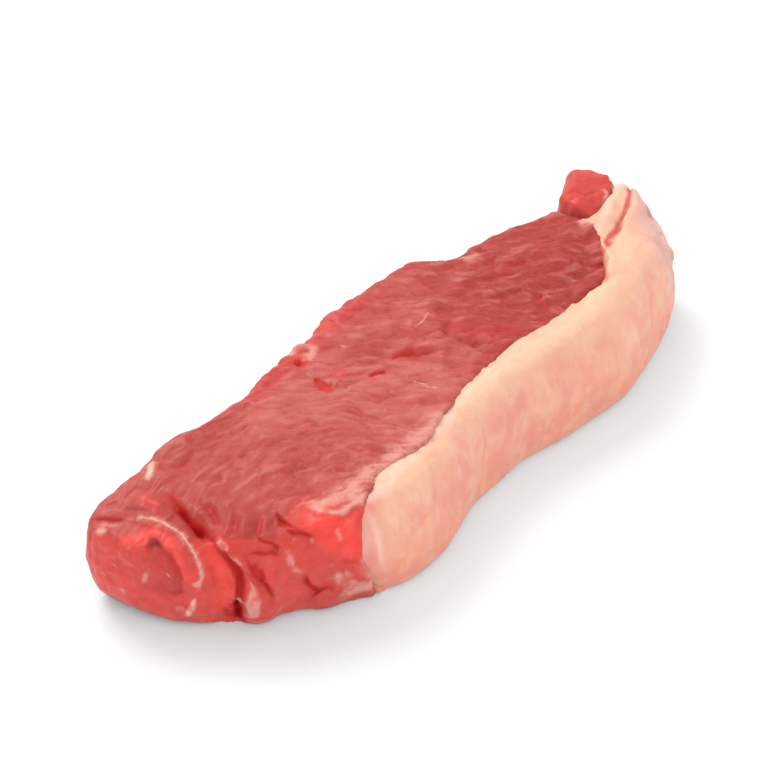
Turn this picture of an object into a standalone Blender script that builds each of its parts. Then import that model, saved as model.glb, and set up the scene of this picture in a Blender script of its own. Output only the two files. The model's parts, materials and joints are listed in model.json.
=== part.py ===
"""A raw sirloin steak, lying on its cut face.

The slice is three solids that meet along its seams: the long lean muscle, the cap of fat along
one side and round the far end, and the small muscle that sits in the fat at that end. Each is a
slab between an underside at z = 0 and a cut face, so all three run through the whole thickness.
+X runs along the steak from its blunt near end to its tapered far end, and -Y is the fat side.
The origin is under the middle of the steak's box.
"""

from collections import namedtuple
from math import cos, exp, pi, sin

import bmesh
import bpy
from mathutils import Matrix, Vector, noise

MM = 0.001  # everything below is in millimetres until a mesh is finished

# Thickness of the slice: it thins towards the blunt end and rises towards the far rim.
NEAR_THICKNESS = 24.5
MIDDLE_THICKNESS = 28.5
FAR_RIM_THICKNESS = 30.0
END_MUSCLE_THICKNESS = 32.0
NEAR_SLOPE = (-102.0, -72.0)
FAR_SLOPE = (0.0, 50.0)

# The lean sinks below the rim of fat towards the far end, and ripples all over.
DIP_DEPTH = 4.0
DIP_REACH = 15.0
DIP_ALONG = (12.0, 50.0)
DIP_ACROSS = (2.0, -12.0)
FAR_FALL = 1.0
RIPPLE_HEIGHT = 0.9
RIPPLE_LENGTH = 22.0
RIPPLE_WIDTH = 11.0

# The fat's cut edge stands a little above the lean, and falls away from the seam.
FAT_STEP = 0.3
FAT_FALL = 0.03
FAT_FALL_REACH = 8.0

# The small muscle's cut face is crowned.
END_MUSCLE_CENTRE = Vector((89.0, 7.0))
CROWN_ALONG = 0.02
CROWN_ACROSS = 0.04

SEAM_GAP = 0.3  # between touching pieces
LEVELS = 8  # rows of faces up every wall
SEAM_STEPS = 3  # rows of faces along the seam for each of its points
CORNER = 13  # the seam's point where it turns round the end of the lean
FAT_TIP = 16  # the seam's point beside which the fat comes to its tip
MUSCLE_NECK = 19  # the seam's point beside the narrow end of the small muscle

# How a wall draws in, from its widest to the cut face and to the underside; the share of the
# height where it is widest; and its roundness, where 1 is elliptical and less is fuller.
Wall = namedtuple("Wall", "top bottom waist bow")
UPRIGHT = Wall(0.0, 0.0, 0.45, 1.0)  # lies against its neighbour
ROUNDED = Wall(3.0, 2.5, 0.45, 0.7)
LEAN_EDGE = Wall(3.5, 3.0, 0.45, 0.6)
BLUNT_END = Wall(2.5, 4.5, 0.7, 1.1)
FAT_END = Wall(2.5, 8.0, 0.5, 1.0)
FAT_SIDE = Wall(10.0, 3.0, 0.35, 1.0)  # at its widest: it draws in less where the fat is thin
FAT_TIP_TOP = 2.0

# The plan of the seam between lean and fat, from the near end round to the back, and beside each
# of its points the outer face of the fat.
SEAM_AND_FAT = [
    ((-58.8, -22.7), (-53.8, -27.3)),
    ((-52.3, -20.7), (-46.3, -30.1)),
    ((-45.3, -18.5), (-38.8, -31.0)),
    ((-38.3, -18.9), (-31.8, -31.0)),
    ((-28.8, -20.7), (-23.3, -29.0)),
    ((-17.8, -17.9), (-12.3, -26.5)),
    ((-5.3, -16.7), (-1.3, -26.7)),
    ((5.7, -15.7), (9.7, -26.9)),
    ((16.7, -16.1), (21.7, -30.2)),
    ((28.7, -17.7), (34.7, -32.3)),
    ((40.7, -19.9), (47.7, -33.9)),
    ((51.7, -20.7), (61.7, -31.7)),
    ((59.7, -18.1), (74.7, -28.7)),
    ((65.7, -13.7), (86.2, -24.2)),
    ((70.7, -9.7), (95.5, -16.3)),
    ((73.0, -7.7), (98.0, -6.2)),
    ((74.0, -6.5), (97.2, 0.3)),
    ((74.7, -5.3), (90.7, -1.3)),
    ((75.3, -4.3), (85.7, -2.4)),
    ((75.9, -2.5), (81.5, -2.5)),
    ((76.6, 1.3), (79.2, 0.8)),
    ((77.0, 9.1), (78.9, 8.6)),
]

# The free edges of the lean, from the far end back to the near end, then round its blunt end.
LEAN_BACK = [
    (77.0, 9.1), (70.3, 12.5), (61.3, 15.7), (51.7, 18.8), (43.6, 20.2), (36.9, 26.4), (26.7, 29.9),
    (13.7, 31.1), (1.7, 32.5), (-8.3, 30.3), (-25.3, 30.0), (-37.3, 28.9), (-47.3, 29.7), (-57.3, 32.9),
    (-66.3, 33.3), (-74.3, 31.3), (-84.3, 33.5), (-92.9, 33.3), (-97.3, 29.1),
]
LEAN_NEAR = [
    (-97.3, 29.1), (-99.2, 20.9), (-98.3, 12.3), (-93.1, 3.5), (-87.5, -3.1), (-82.1, -11.5),
    (-73.7, -14.5), (-67.7, -21.1), (-58.8, -22.7),
]

# The free edge of the small muscle at the far end, from the fat's tip back to the seam's end.
END_MUSCLE_BACK = [(97.5, 4.8), (97.5, 9.8), (95.2, 13.6), (89.7, 13.9), (84.2, 12.3), (80.2, 10.3)]

DOWN = Vector((0.0, 0.0, -1.0))
INWARDS = Vector((0.8, 0.6, 0.0))  # into the blunt end


def spline(points, t):
    """A point of the smooth curve through the points: whole values of t are the points themselves."""
    first = min(int(t), len(points) - 2)
    a, b, c, d = (points[min(max(first + k, 0), len(points) - 1)] for k in (-1, 0, 1, 2))
    f = t - first
    return Vector(
        0.5 * (2 * q + (r - p) * f + (2 * p - 5 * q + 4 * r - s) * f * f + (3 * q - p - 3 * r + s) * f**3)
        for p, q, r, s in zip(a, b, c, d)
    )


def evenly(points, steps, fine=20):
    """The curve through the points, cut into steps of equal length."""
    curve = [spline(points, k / fine) for k in range(fine * (len(points) - 1) + 1)]
    run = [0.0]
    for a, b in zip(curve, curve[1:]):
        run.append(run[-1] + (b - a).length)
    found, k = [], 0
    for n in range(steps + 1):
        goal = run[-1] * n / steps
        while k < len(run) - 2 and run[k + 1] < goal:
            k += 1
        found.append(curve[k].lerp(curve[k + 1], (goal - run[k]) / (run[k + 1] - run[k])))
    return found


def smoothstep(low, high, x):
    f = min(max((x - low) / (high - low), 0.0), 1.0)
    return f * f * (3 - 2 * f)


def nearest(path, p):
    """How far p is from a path of straight runs."""
    best = float("inf")
    for a, b in zip(path, path[1:]):
        run = b - a
        f = min(max((p - a).dot(run) / run.length_squared, 0.0), 1.0)
        best = min(best, (p - a - run * f).length)
    return best


def outward(ring):
    """The outward normal at each point of an anticlockwise ring in the plan."""
    runs = [ring[(i + 1) % len(ring)] - ring[i - 1] for i in range(len(ring))]
    return [Vector((run.y, -run.x)).normalized() for run in runs]


def softened(walls, passes=6):
    """The walls round a ring, each drawn towards its neighbours."""
    for _ in range(passes):
        following = walls[1:] + walls[:1]
        walls = [
            Wall(*((a + 2 * b + c) / 4 for a, b, c in zip(walls[i - 1], wall, following[i])))
            for i, wall in enumerate(walls)
        ]
    return walls


def slab(sides, walls, top_height):
    """A slab over a plan of four sides, given anticlockwise as front, far, back and near.

    Each side has a Wall, or a list of them, one for each of its points. top_height(p) is the
    height of the cut face over a point of the plan.
    """
    ring = [p for side in sides for p in side[:-1]]
    along, across = len(sides[0]) - 1, len(sides[1]) - 1
    shapes = []
    for side, wall in zip(sides, walls):
        shapes += [wall] * (len(side) - 1) if isinstance(wall, Wall) else wall[:-1]
    shapes = softened(shapes)
    normals = outward(ring)
    bm = bmesh.new()

    def wall_row(level):
        angle = pi * (level / LEVELS - 0.5)
        row = []
        for p, n, wall in zip(ring, normals, shapes):
            drawn_in = 1 - max(cos(angle), 0.0) ** wall.bow
            share = wall.waist + sin(angle) * (wall.waist if angle < 0 else 1 - wall.waist)
            plan = p - n * (wall.top if angle > 0 else wall.bottom) * drawn_in
            height = share * top_height(p - n * wall.top)
            row.append(bm.verts.new((plan.x, plan.y, height)))
        return row

    rows = [wall_row(level) for level in range(LEVELS + 1)]
    for low, high in zip(rows, rows[1:]):
        for i in range(len(ring)):
            j = (i + 1) % len(ring)
            bm.faces.new((low[i], low[j], high[j], high[i]))
    bm.faces.new(reversed(rows[0]))

    # The cut face is a patch stretched between the four sides of the top row.
    top = rows[-1]
    front = top[: along + 1]
    far = top[along : along + across + 1]
    back = top[along + across : 2 * along + across + 1][::-1]
    near = (top[2 * along + across :] + top[:1])[::-1]
    grid = [near, *[[front[i], *[None] * (across - 1), back[i]] for i in range(1, along)], far]
    for i in range(1, along):
        for j in range(1, across):
            u, v = i / along, j / across
            straight = front[i].co.lerp(back[i].co, v) + near[j].co.lerp(far[j].co, u)
            corners = near[0].co.lerp(far[0].co, u).lerp(near[-1].co.lerp(far[-1].co, u), v)
            plan = (straight - corners).to_2d()
            grid[i][j] = bm.verts.new((plan.x, plan.y, top_height(plan)))
    for i in range(along):
        for j in range(across):
            bm.faces.new((grid[i][j], grid[i + 1][j], grid[i + 1][j + 1], grid[i][j + 1]))
    return bm


def finished(name, bm, material):
    mesh = bpy.data.meshes.new(name)
    bmesh.ops.recalc_face_normals(bm, faces=bm.faces)
    bmesh.ops.scale(bm, vec=(MM, MM, MM), verts=bm.verts)
    bm.to_mesh(mesh)
    bm.free()
    mesh.materials.append(material)
    mesh.shade_smooth()
    mesh.set_sharp_from_angle(angle=pi / 3)
    piece = bpy.data.objects.new(name, mesh)
    bpy.context.scene.collection.objects.link(piece)
    return piece


def press(bm, path, radius, depth, direction):
    """Pushes what lies near the path along the direction, most on the path itself."""
    path = [Vector(p) for p in path]
    for v in bm.verts:
        share = exp(-((nearest(path, v.co) / radius) ** 2))
        if share > 0.01 and v.co.z > 0.01:
            v.co += direction * depth * share


def plain_material(name, colour, roughness):
    material = bpy.data.materials.new(name)
    material.use_nodes = True
    shader = material.node_tree.nodes["Principled BSDF"]
    shader.inputs["Base Color"].default_value = (*colour, 1.0)
    shader.inputs["Roughness"].default_value = roughness
    return material


def seam_rows(face, first, last, side):
    """Rows of the seam (face 0) or of the fat's outer face (face 1), set off by half the gap:
    side is 1 outwards, away from the lean, and -1 inwards."""
    points = [pair[face] for pair in SEAM_AND_FAT]
    line = [spline(points, n / SEAM_STEPS) for n in range(first, last + 1)]
    runs = [line[min(i + 1, len(line) - 1)] - line[max(i - 1, 0)] for i in range(len(line))]
    return [p + Vector((run.y, -run.x)).normalized() * side * SEAM_GAP / 2 for p, run in zip(line, runs)]


def joined(*sides):
    """Four sides whose ends are made to meet."""
    for side, following in zip(sides, sides[1:] + sides[:1]):
        following[0] = side[-1]
    return list(sides)


def thickness(x):
    """The slice's thickness along its length, without the dip or the ripples."""
    near = NEAR_THICKNESS + (MIDDLE_THICKNESS - NEAR_THICKNESS) * smoothstep(*NEAR_SLOPE, x)
    return near + (FAR_RIM_THICKNESS - MIDDLE_THICKNESS) * smoothstep(*FAR_SLOPE, x)


def from_seam(p):
    return nearest([Vector(pair[0]) for pair in SEAM_AND_FAT], p)


def lean_top(p):
    """Height of the lean's cut face."""
    beside_fat = smoothstep(*DIP_ALONG, p.x) * smoothstep(*DIP_ACROSS, p.y)
    dip = DIP_DEPTH * beside_fat * exp(-((from_seam(p) / DIP_REACH) ** 2))
    ripple = RIPPLE_HEIGHT * noise.noise(Vector((p.x / RIPPLE_LENGTH, p.y / RIPPLE_WIDTH, 0.0)))
    return thickness(p.x) - dip - FAR_FALL * smoothstep(*FAR_SLOPE, p.x) + ripple


def fat_top(p):
    """Height of the fat's cut edge."""
    return thickness(p.x) + FAT_STEP - FAT_FALL * min(from_seam(p), FAT_FALL_REACH) ** 2


def end_muscle_top(p):
    off = p - END_MUSCLE_CENTRE
    return END_MUSCLE_THICKNESS - CROWN_ALONG * off.x**2 - CROWN_ACROSS * off.y**2


def make_lean():
    rows = SEAM_STEPS * (len(SEAM_AND_FAT) - 1)
    corner = SEAM_STEPS * CORNER
    front = seam_rows(0, 0, rows, -1)
    back = evenly(LEAN_BACK, corner)
    near = evenly(LEAN_NEAR, rows - corner)
    sides = joined(front[: corner + 1], front[corner:], back, near)
    # The blunt end overhangs, most at the strap muscle's corner.
    blunt = [BLUNT_END._replace(bottom=BLUNT_END.bottom + 6.0 * smoothstep(-2, 14, p.y)) for p in near]
    edge = [LEAN_EDGE._replace(bottom=LEAN_EDGE.bottom + 8.0 * smoothstep(-84, -98, p.x)) for p in back]
    bm = slab(sides, [UPRIGHT, UPRIGHT, edge, blunt], lean_top)
    # The cleft between the strap muscle and the main block, from the cut face down the blunt end.
    cleft = [(-81, 16, 28), (-85, 6, 28), (-88, -1, 25), (-86, -2, 12), (-84, -3, 0)]
    press(bm, cleft, radius=2.6, depth=3.5, direction=INWARDS)
    press(bm, cleft[:3], radius=2.4, depth=3.0, direction=DOWN)
    # The strap muscle's own cut end is a shallow dish.
    press(bm, [(-99, 18, 14), (-96, 11, 13)], radius=7.0, depth=3.0, direction=INWARDS)
    # Folds where the block slopes down to its blunt end.
    press(bm, [(-73, -8, 28), (-77, -12, 27)], radius=2.2, depth=2.0, direction=DOWN)
    press(bm, [(-68, -12, 28), (-71, -17, 26)], radius=2.2, depth=2.0, direction=DOWN)
    return finished("lean", bm, plain_material("lean meat", (0.55, 0.09, 0.08), 0.4))


def make_fat_cap():
    rows = SEAM_STEPS * (len(SEAM_AND_FAT) - 1)
    outer = seam_rows(1, 0, rows, -1)
    inner = seam_rows(0, 0, rows, 1)[::-1]
    tip = SEAM_STEPS * FAT_TIP
    free = []
    for n, (a, b) in enumerate(zip(outer[:tip], inner[::-1])):
        width = (a - b).length
        most = FAT_SIDE.top + (FAT_TIP_TOP - FAT_SIDE.top) * smoothstep(0.86 * tip, 0.97 * tip, n)
        free.append(FAT_SIDE._replace(top=min(0.6 * width, most), bottom=min(0.25 * width, FAT_SIDE.bottom)))
    free += [UPRIGHT] * (len(outer) - tip)
    sides = joined(outer, evenly([outer[-1], inner[0]], 3), inner, evenly([inner[-1], outer[0]], 3))
    bm = slab(sides, [free, ROUNDED, UPRIGHT, FAT_END], fat_top)
    # The streak of meat in the fat at the far end lies in a groove.
    press(bm, [(70, -13, 31), (82, -10, 30), (95, -6, 29)], radius=2.0, depth=1.5, direction=DOWN)
    return finished("fat_cap", bm, plain_material("fat", (0.9, 0.62, 0.44), 0.45))


def make_end_muscle():
    rows = SEAM_STEPS * (len(SEAM_AND_FAT) - 1)
    contact = seam_rows(1, SEAM_STEPS * FAT_TIP + 1, rows, 1)[::-1]
    neck = rows - SEAM_STEPS * MUSCLE_NECK
    free = evenly([contact[-1], *map(Vector, END_MUSCLE_BACK), contact[0]], len(contact) - 1)
    sides = joined(contact[neck:], free[: neck + 1], free[neck:], contact[: neck + 1])
    bm = slab(sides, [UPRIGHT, ROUNDED, ROUNDED, UPRIGHT], end_muscle_top)
    return finished("end_muscle", bm, plain_material("end muscle", (0.6, 0.07, 0.06), 0.35))


def centre(pieces):
    """Moves the meshes together so that the steak's box is centred over the origin."""
    points = [v.co for piece in pieces for v in piece.data.vertices]
    middle = Vector([(min(p[k] for p in points) + max(p[k] for p in points)) / 2 for k in (0, 1)] + [0.0])
    for piece in pieces:
        piece.data.transform(Matrix.Translation(-middle))


def main():
    for old in list(bpy.data.objects):
        bpy.data.objects.remove(old)
    centre([make_lean(), make_fat_cap(), make_end_muscle()])


main()
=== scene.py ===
import json

import bpy
import numpy as np
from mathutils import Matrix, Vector, noise
from mathutils.bvhtree import BVHTree

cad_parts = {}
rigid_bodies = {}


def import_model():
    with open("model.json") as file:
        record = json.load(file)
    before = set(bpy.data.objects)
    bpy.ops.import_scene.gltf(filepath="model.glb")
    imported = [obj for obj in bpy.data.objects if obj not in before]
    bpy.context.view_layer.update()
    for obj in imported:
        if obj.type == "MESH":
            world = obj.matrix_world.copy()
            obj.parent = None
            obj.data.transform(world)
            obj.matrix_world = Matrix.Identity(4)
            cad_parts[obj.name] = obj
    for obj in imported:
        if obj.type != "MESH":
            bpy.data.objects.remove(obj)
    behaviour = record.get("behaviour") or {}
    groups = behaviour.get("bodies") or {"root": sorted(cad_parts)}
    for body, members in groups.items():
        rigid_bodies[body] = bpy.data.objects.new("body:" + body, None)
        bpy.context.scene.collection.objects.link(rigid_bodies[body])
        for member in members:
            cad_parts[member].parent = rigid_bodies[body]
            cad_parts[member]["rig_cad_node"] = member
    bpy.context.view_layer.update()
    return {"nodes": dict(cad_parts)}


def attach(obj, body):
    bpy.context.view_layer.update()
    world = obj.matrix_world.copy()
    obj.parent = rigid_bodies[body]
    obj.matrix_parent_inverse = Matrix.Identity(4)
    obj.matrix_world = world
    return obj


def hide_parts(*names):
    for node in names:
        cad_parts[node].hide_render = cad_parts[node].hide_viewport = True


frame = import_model()
print("frame loaded:", ", ".join(sorted(frame["nodes"])))

mm = 0.001  # paths, widths and heights below are in millimetres
inward = (0.667, 0.459, -0.588)  # from the near end into the steak and down
outward = (-0.667, -0.459, 0.588)
rightward = (0.567, -0.824, 0.0)  # as seen from the front
upward = (0.484, 0.333, 0.81)


# small tools for shaping a surface

def selectOnly(piece):
    if bpy.context.view_layer.objects.active and bpy.context.mode != "OBJECT":
        bpy.ops.object.mode_set(mode="OBJECT")
    bpy.ops.object.select_all(action="DESELECT")
    piece.select_set(True)
    bpy.context.view_layer.objects.active = piece


def applyModifier(piece, kind, **settings):
    selectOnly(piece)
    modifier = piece.modifiers.new(kind.title(), kind)
    for name, value in settings.items():
        setattr(modifier, name, value)
    bpy.ops.object.modifier_apply(modifier=modifier.name)


def copyNode(nodeName, pieceName):
    node = frame["nodes"][nodeName]
    selectOnly(node)
    bpy.ops.object.duplicate()
    piece = bpy.context.view_layer.objects.active
    bpy.ops.object.parent_clear(type="CLEAR_KEEP_TRANSFORM")
    piece.name = piece.data.name = pieceName
    del piece["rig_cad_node"]
    bpy.ops.object.mode_set(mode="EDIT")
    bpy.ops.mesh.select_all(action="SELECT")
    bpy.ops.mesh.remove_doubles(threshold=1e-6)
    bpy.ops.mesh.normals_make_consistent(inside=False)
    bpy.ops.object.mode_set(mode="OBJECT")
    piece.data.materials.clear()
    for attribute in [a for a in piece.data.attributes if a.name == "custom_normal"]:
        piece.data.attributes.remove(attribute)
    return piece


def softMesh(piece, voxel):
    # an even mesh with its edges rounded, fine enough to shape
    applyModifier(piece, "REMESH", mode="VOXEL", voxel_size=voxel * mm)
    applyModifier(piece, "SMOOTH", factor=0.5, iterations=3)


def refineWhere(piece, chosen):
    # splits the faces whose centre and normal are chosen
    selectOnly(piece)
    mesh = piece.data
    count = len(mesh.polygons)
    centres, normals = np.empty(count * 3), np.empty(count * 3)
    mesh.polygons.foreach_get("center", centres)
    mesh.polygons.foreach_get("normal", normals)
    wanted = chosen(centres.reshape(-1, 3) / mm, normals.reshape(-1, 3))
    bpy.ops.object.mode_set(mode="EDIT")
    bpy.ops.mesh.select_mode(type="FACE")
    bpy.ops.mesh.select_all(action="DESELECT")
    bpy.ops.object.mode_set(mode="OBJECT")
    mesh.polygons.foreach_set("select", wanted)
    bpy.ops.object.mode_set(mode="EDIT")
    bpy.ops.mesh.subdivide(number_cuts=1)
    bpy.ops.object.mode_set(mode="OBJECT")


def readPoints(piece):
    mesh = piece.data
    points, normals = np.empty(len(mesh.vertices) * 3), np.empty(len(mesh.vertices) * 3)
    mesh.vertices.foreach_get("co", points)
    mesh.vertices.foreach_get("normal", normals)
    return points.reshape(-1, 3) / mm, normals.reshape(-1, 3)


def writePoints(piece, points):
    piece.data.vertices.foreach_set("co", (points * mm).ravel())
    piece.data.update()


def writeMask(piece, name, values):
    kind, slot = ("FLOAT_VECTOR", "vector") if values.ndim == 2 else ("FLOAT", "value")
    attribute = piece.data.attributes.new(name, kind, "POINT")
    attribute.data.foreach_set(slot, np.ascontiguousarray(values, np.float32).ravel())


def fade(low, high, x):
    share = np.clip((x - low) / (high - low), 0.0, 1.0)
    return share * share * (3 - 2 * share)


def curveThrough(path):
    # a smooth line through the places of a path
    steps = 5
    path = np.array(path, float)
    if len(path) < 3:
        return path
    padded = np.vstack([2 * path[0] - path[1], path, 2 * path[-1] - path[-2]])
    found = []
    for p, q, r, s in zip(padded, padded[1:], padded[2:], padded[3:]):
        for f in np.arange(steps) / steps:
            bend, twist = 2 * p - 5 * q + 4 * r - s, 3 * q - p - 3 * r + s
            found.append(0.5 * (2 * q + (r - p) * f + bend * f * f + twist * f**3))
    return np.vstack([found, path[-1]])


def nearPath(points, path, reach):
    # which points lie within reach, their distance to the path, how far along it from 0 to 1,
    # and how far to its left
    path = curveThrough(path)
    runs = np.diff(path, axis=0)
    lengths = np.linalg.norm(runs, axis=1)
    before = np.concatenate([[0.0], np.cumsum(lengths)])
    inReach = (points > path.min(axis=0) - reach) & (points < path.max(axis=0) + reach)
    near = np.nonzero(np.all(inReach, axis=1))[0]
    close = points[near]
    away, along, left = np.full(len(close), 1e9), np.zeros(len(close)), np.zeros(len(close))
    for start, run, length, done in zip(path, runs, lengths, before):
        share = np.clip((close - start) @ run / length**2, 0.0, 1.0)
        offset = close - start - share[:, None] * run
        gap = np.linalg.norm(offset, axis=1)
        closer = gap < away
        away[closer], along[closer] = gap[closer], (done + share[closer] * length) / before[-1]
        left[closer] = offset[closer] @ np.cross(outward, run / length)
    return near, away, along, left


def taper(along, ends=0.3):
    return 0.25 + 0.75 * fade(0.0, ends, along) * fade(0.0, ends, 1 - along)


def strokeShare(points, path, width, sharp=2.0, ends=0.3):
    # 1 on the path, dying away to either side and, over its ends, along it
    near, away, along, _ = nearPath(points, path, 3 * width)
    share = np.exp(-((away / width) ** sharp))
    if ends:
        share *= taper(along, ends)
    found = np.zeros(len(points))
    found[near] = share
    return found


def ledgeShare(points, path, width):
    # 1 beside the path on its left and -1 on its right, looked at from the front, dying away with distance
    near, away, along, left = nearPath(points, path, 3 * width)
    share = np.exp(-((away / width) ** 2)) * np.tanh(left / 0.5)
    found = np.zeros(len(points))
    found[near] = share * taper(along)
    return found


def regionShare(points, loop, soft):
    # 0 outside the loop as it is seen from the front, and 1 further inside it than soft
    ring = curveThrough(list(loop) + [loop[0]])
    flat = points @ np.array([rightward, upward]).T
    edge = ring @ np.array([rightward, upward]).T
    inside, away = np.zeros(len(points), bool), np.full(len(points), 1e9)
    for start, end in zip(edge, edge[1:]):
        run = end - start
        share = np.clip((flat - start) @ run / (run @ run + 1e-12), 0.0, 1.0)
        away = np.minimum(away, np.linalg.norm(flat - start - share[:, None] * run, axis=1))
        crossing = (start[1] > flat[:, 1]) != (end[1] > flat[:, 1])
        slope = run[0] / (run[1] if abs(run[1]) > 1e-9 else 1e-9)
        inside ^= crossing & (flat[:, 0] < start[0] + (flat[:, 1] - start[1]) * slope)
    depth = points @ np.array(inward) - (ring @ np.array(inward)).mean()
    return fade(0.0, soft, np.where(inside, away, 0.0)) * fade(22.0, 16.0, np.abs(depth))


def sculpt(points, normals, strokes, shareOf=strokeShare):
    # how far each point moves: a stroke is a path, its width and height,
    # and perhaps a direction, sharpness and ends
    moved = np.zeros_like(points)
    for name, width, height, *more in strokes:
        direction = np.array(more[0], float) if more and more[0] else normals
        moved += direction * (shareOf(points, places[name], width, *more[1:]) * height)[:, None]
    return moved


def paint(points, marks):
    # a mark is a path, its width and its strength, and perhaps a sharpness and ends
    mask = np.zeros(len(points))
    for name, width, strength, *more in marks:
        mask = np.maximum(mask, strength * strokeShare(points, places[name], width, *more))
    return mask


def noiseAt(points, size, seed=0.0, octaves=2):
    shift = Vector((seed * 17.3, seed * 5.1, seed * 9.7))
    size = np.broadcast_to(np.array(size, float), 3)
    return np.array([noise.fractal(Vector(p) + shift, 0.9, 2.0, octaves) for p in points / size])


def wobble(points, size, amount):
    # the points shifted a little this way and that, so that what is drawn at them gets an uneven edge
    return points + amount * np.stack([noiseAt(points, size, seed) for seed in (21, 22, 23)], axis=1)


def cellsAt(points, size, seed=0.0):
    # 0 on the borders between cells, rising inside them
    shift = Vector((seed * 13.1, seed * 3.7, seed * 7.9))
    size = np.broadcast_to(np.array(size, float), 3)
    found = []
    for p in points / size:
        nearest = noise.voronoi(Vector(p) + shift)[0]
        found.append(nearest[1] - nearest[0])
    return np.array(found)


# camera, light and floor

studio = {
    "cameraAt": (-0.58631, -0.39213, 0.52901),
    "looksAt": (0.01375, 0.02028, 0.0),
    "lens": 162.42,
    "sensor": 36.0,
    "raised": 12 / 768,  # how far the frame is shifted up, as a share of its width
    "worldStrength": 0.85,
    "keyAt": (0.25, 0.75, 0.95),
    "keyPower": 7.5,
    "fillAt": (-0.5, -0.9, 0.8),
    "fillPower": 2.5,
}


def addAreaLight(name, place, size, power):
    bpy.ops.object.light_add(type="AREA", location=place)
    light = bpy.context.object
    light.name = name
    light.rotation_euler = (-Vector(place)).to_track_quat("-Z", "Y").to_euler()
    light.data.size = size
    light.data.energy = power


def buildStudio():
    bpy.ops.object.select_all(action="DESELECT")
    place, target = Vector(studio["cameraAt"]), Vector(studio["looksAt"])
    bpy.ops.object.camera_add(location=place, rotation=(target - place).to_track_quat("-Z", "Y").to_euler())
    camera = bpy.context.object
    camera.name = "studioCamera"
    camera.data.sensor_width = studio["sensor"]
    camera.data.lens = studio["lens"]
    camera.data.shift_y = studio["raised"]
    camera.data.clip_start = 0.01
    bpy.context.scene.camera = camera

    bpy.ops.mesh.primitive_plane_add(size=6.0, location=(0, 0, 0))
    floor = bpy.context.object
    floor.name = "studioFloor"
    material = bpy.data.materials.new("whiteFloor")
    material.use_nodes = True
    shader = material.node_tree.nodes["Principled BSDF"]
    shader.inputs["Base Color"].default_value = (0.93, 0.93, 0.93, 1)
    shader.inputs["Roughness"].default_value = 0.9
    shader.inputs["Specular IOR Level"].default_value = 0.1
    floor.data.materials.append(material)

    world = bpy.data.worlds.new("softWhite")
    world.use_nodes = True
    world.node_tree.nodes["Background"].inputs["Color"].default_value = (1, 1, 1, 1)
    world.node_tree.nodes["Background"].inputs["Strength"].default_value = studio["worldStrength"]
    bpy.context.scene.world = world
    addAreaLight("keySoftbox", studio["keyAt"], 0.7, studio["keyPower"])
    addAreaLight("fillSoftbox", studio["fillAt"], 0.9, studio["fillPower"])
    bpy.context.scene.view_settings.view_transform = "Standard"
    bpy.context.scene.view_settings.look = "None"


buildStudio()
print("studio built")


# shader node groups shared by the materials

def linear(hexColour):
    parts = [int(hexColour[k : k + 2], 16) / 255 for k in (0, 2, 4)]
    return (*[c / 12.92 if c <= 0.04045 else ((c + 0.055) / 1.055) ** 2.4 for c in parts], 1.0)


def addNode(tree, kind, settings=None, **inputs):
    node = tree.nodes.new(kind)
    for name, value in (settings or {}).items():
        setattr(node, name, value)
    for name, value in inputs.items():
        byNumber = name[0] == "i" and name[1:].isdigit()
        socket = node.inputs[int(name[1:]) if byNumber else name.replace("_", " ")]
        if isinstance(value, bpy.types.NodeSocket):
            tree.links.new(value, socket)
        else:
            socket.default_value = value
    return node


def mathNode(tree, operation, a, b=0.0):
    return addNode(tree, "ShaderNodeMath", {"operation": operation}, i0=a, i1=b).outputs[0]


def times(tree, a, b):
    return mathNode(tree, "MULTIPLY", a, b)


def mixColour(tree, share, a, b):
    node = addNode(tree, "ShaderNodeMix", {"data_type": "RGBA"})
    for slot, value in (("Factor", share), ("A", a), ("B", b)):
        kind = "VALUE" if slot == "Factor" else "RGBA"
        socket = [s for s in node.inputs if s.name == slot and s.type == kind][0]
        if isinstance(value, bpy.types.NodeSocket):
            tree.links.new(value, socket)
        else:
            socket.default_value = value
    return [s for s in node.outputs if s.type == "RGBA"][0]


def mapRange(tree, value, low, high, toLow=0.0, toHigh=1.0):
    return addNode(tree, "ShaderNodeMapRange", {"interpolation_type": "SMOOTHSTEP"}, Value=value,
                   From_Min=low, From_Max=high, To_Min=toLow, To_Max=toHigh).outputs[0]


def newGroup(name, numbers, outputs):
    group = bpy.data.node_groups.new(name, "ShaderNodeTree")
    group.interface.new_socket(name="Vector", in_out="INPUT", socket_type="NodeSocketVector")
    for label, value in numbers.items():
        socket = group.interface.new_socket(name=label, in_out="INPUT", socket_type="NodeSocketFloat")
        socket.default_value = value
    for label in outputs:
        group.interface.new_socket(name=label, in_out="OUTPUT", socket_type="NodeSocketFloat")
    return group, group.nodes.new("NodeGroupInput").outputs, group.nodes.new("NodeGroupOutput").inputs


def divided(group, vector, size):
    return addNode(group, "ShaderNodeVectorMath", {"operation": "DIVIDE"}, i0=vector, i1=size).outputs[0]


def useGroup(tree, group, **inputs):
    return addNode(tree, "ShaderNodeGroup", {"node_tree": group}, **inputs)


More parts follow.
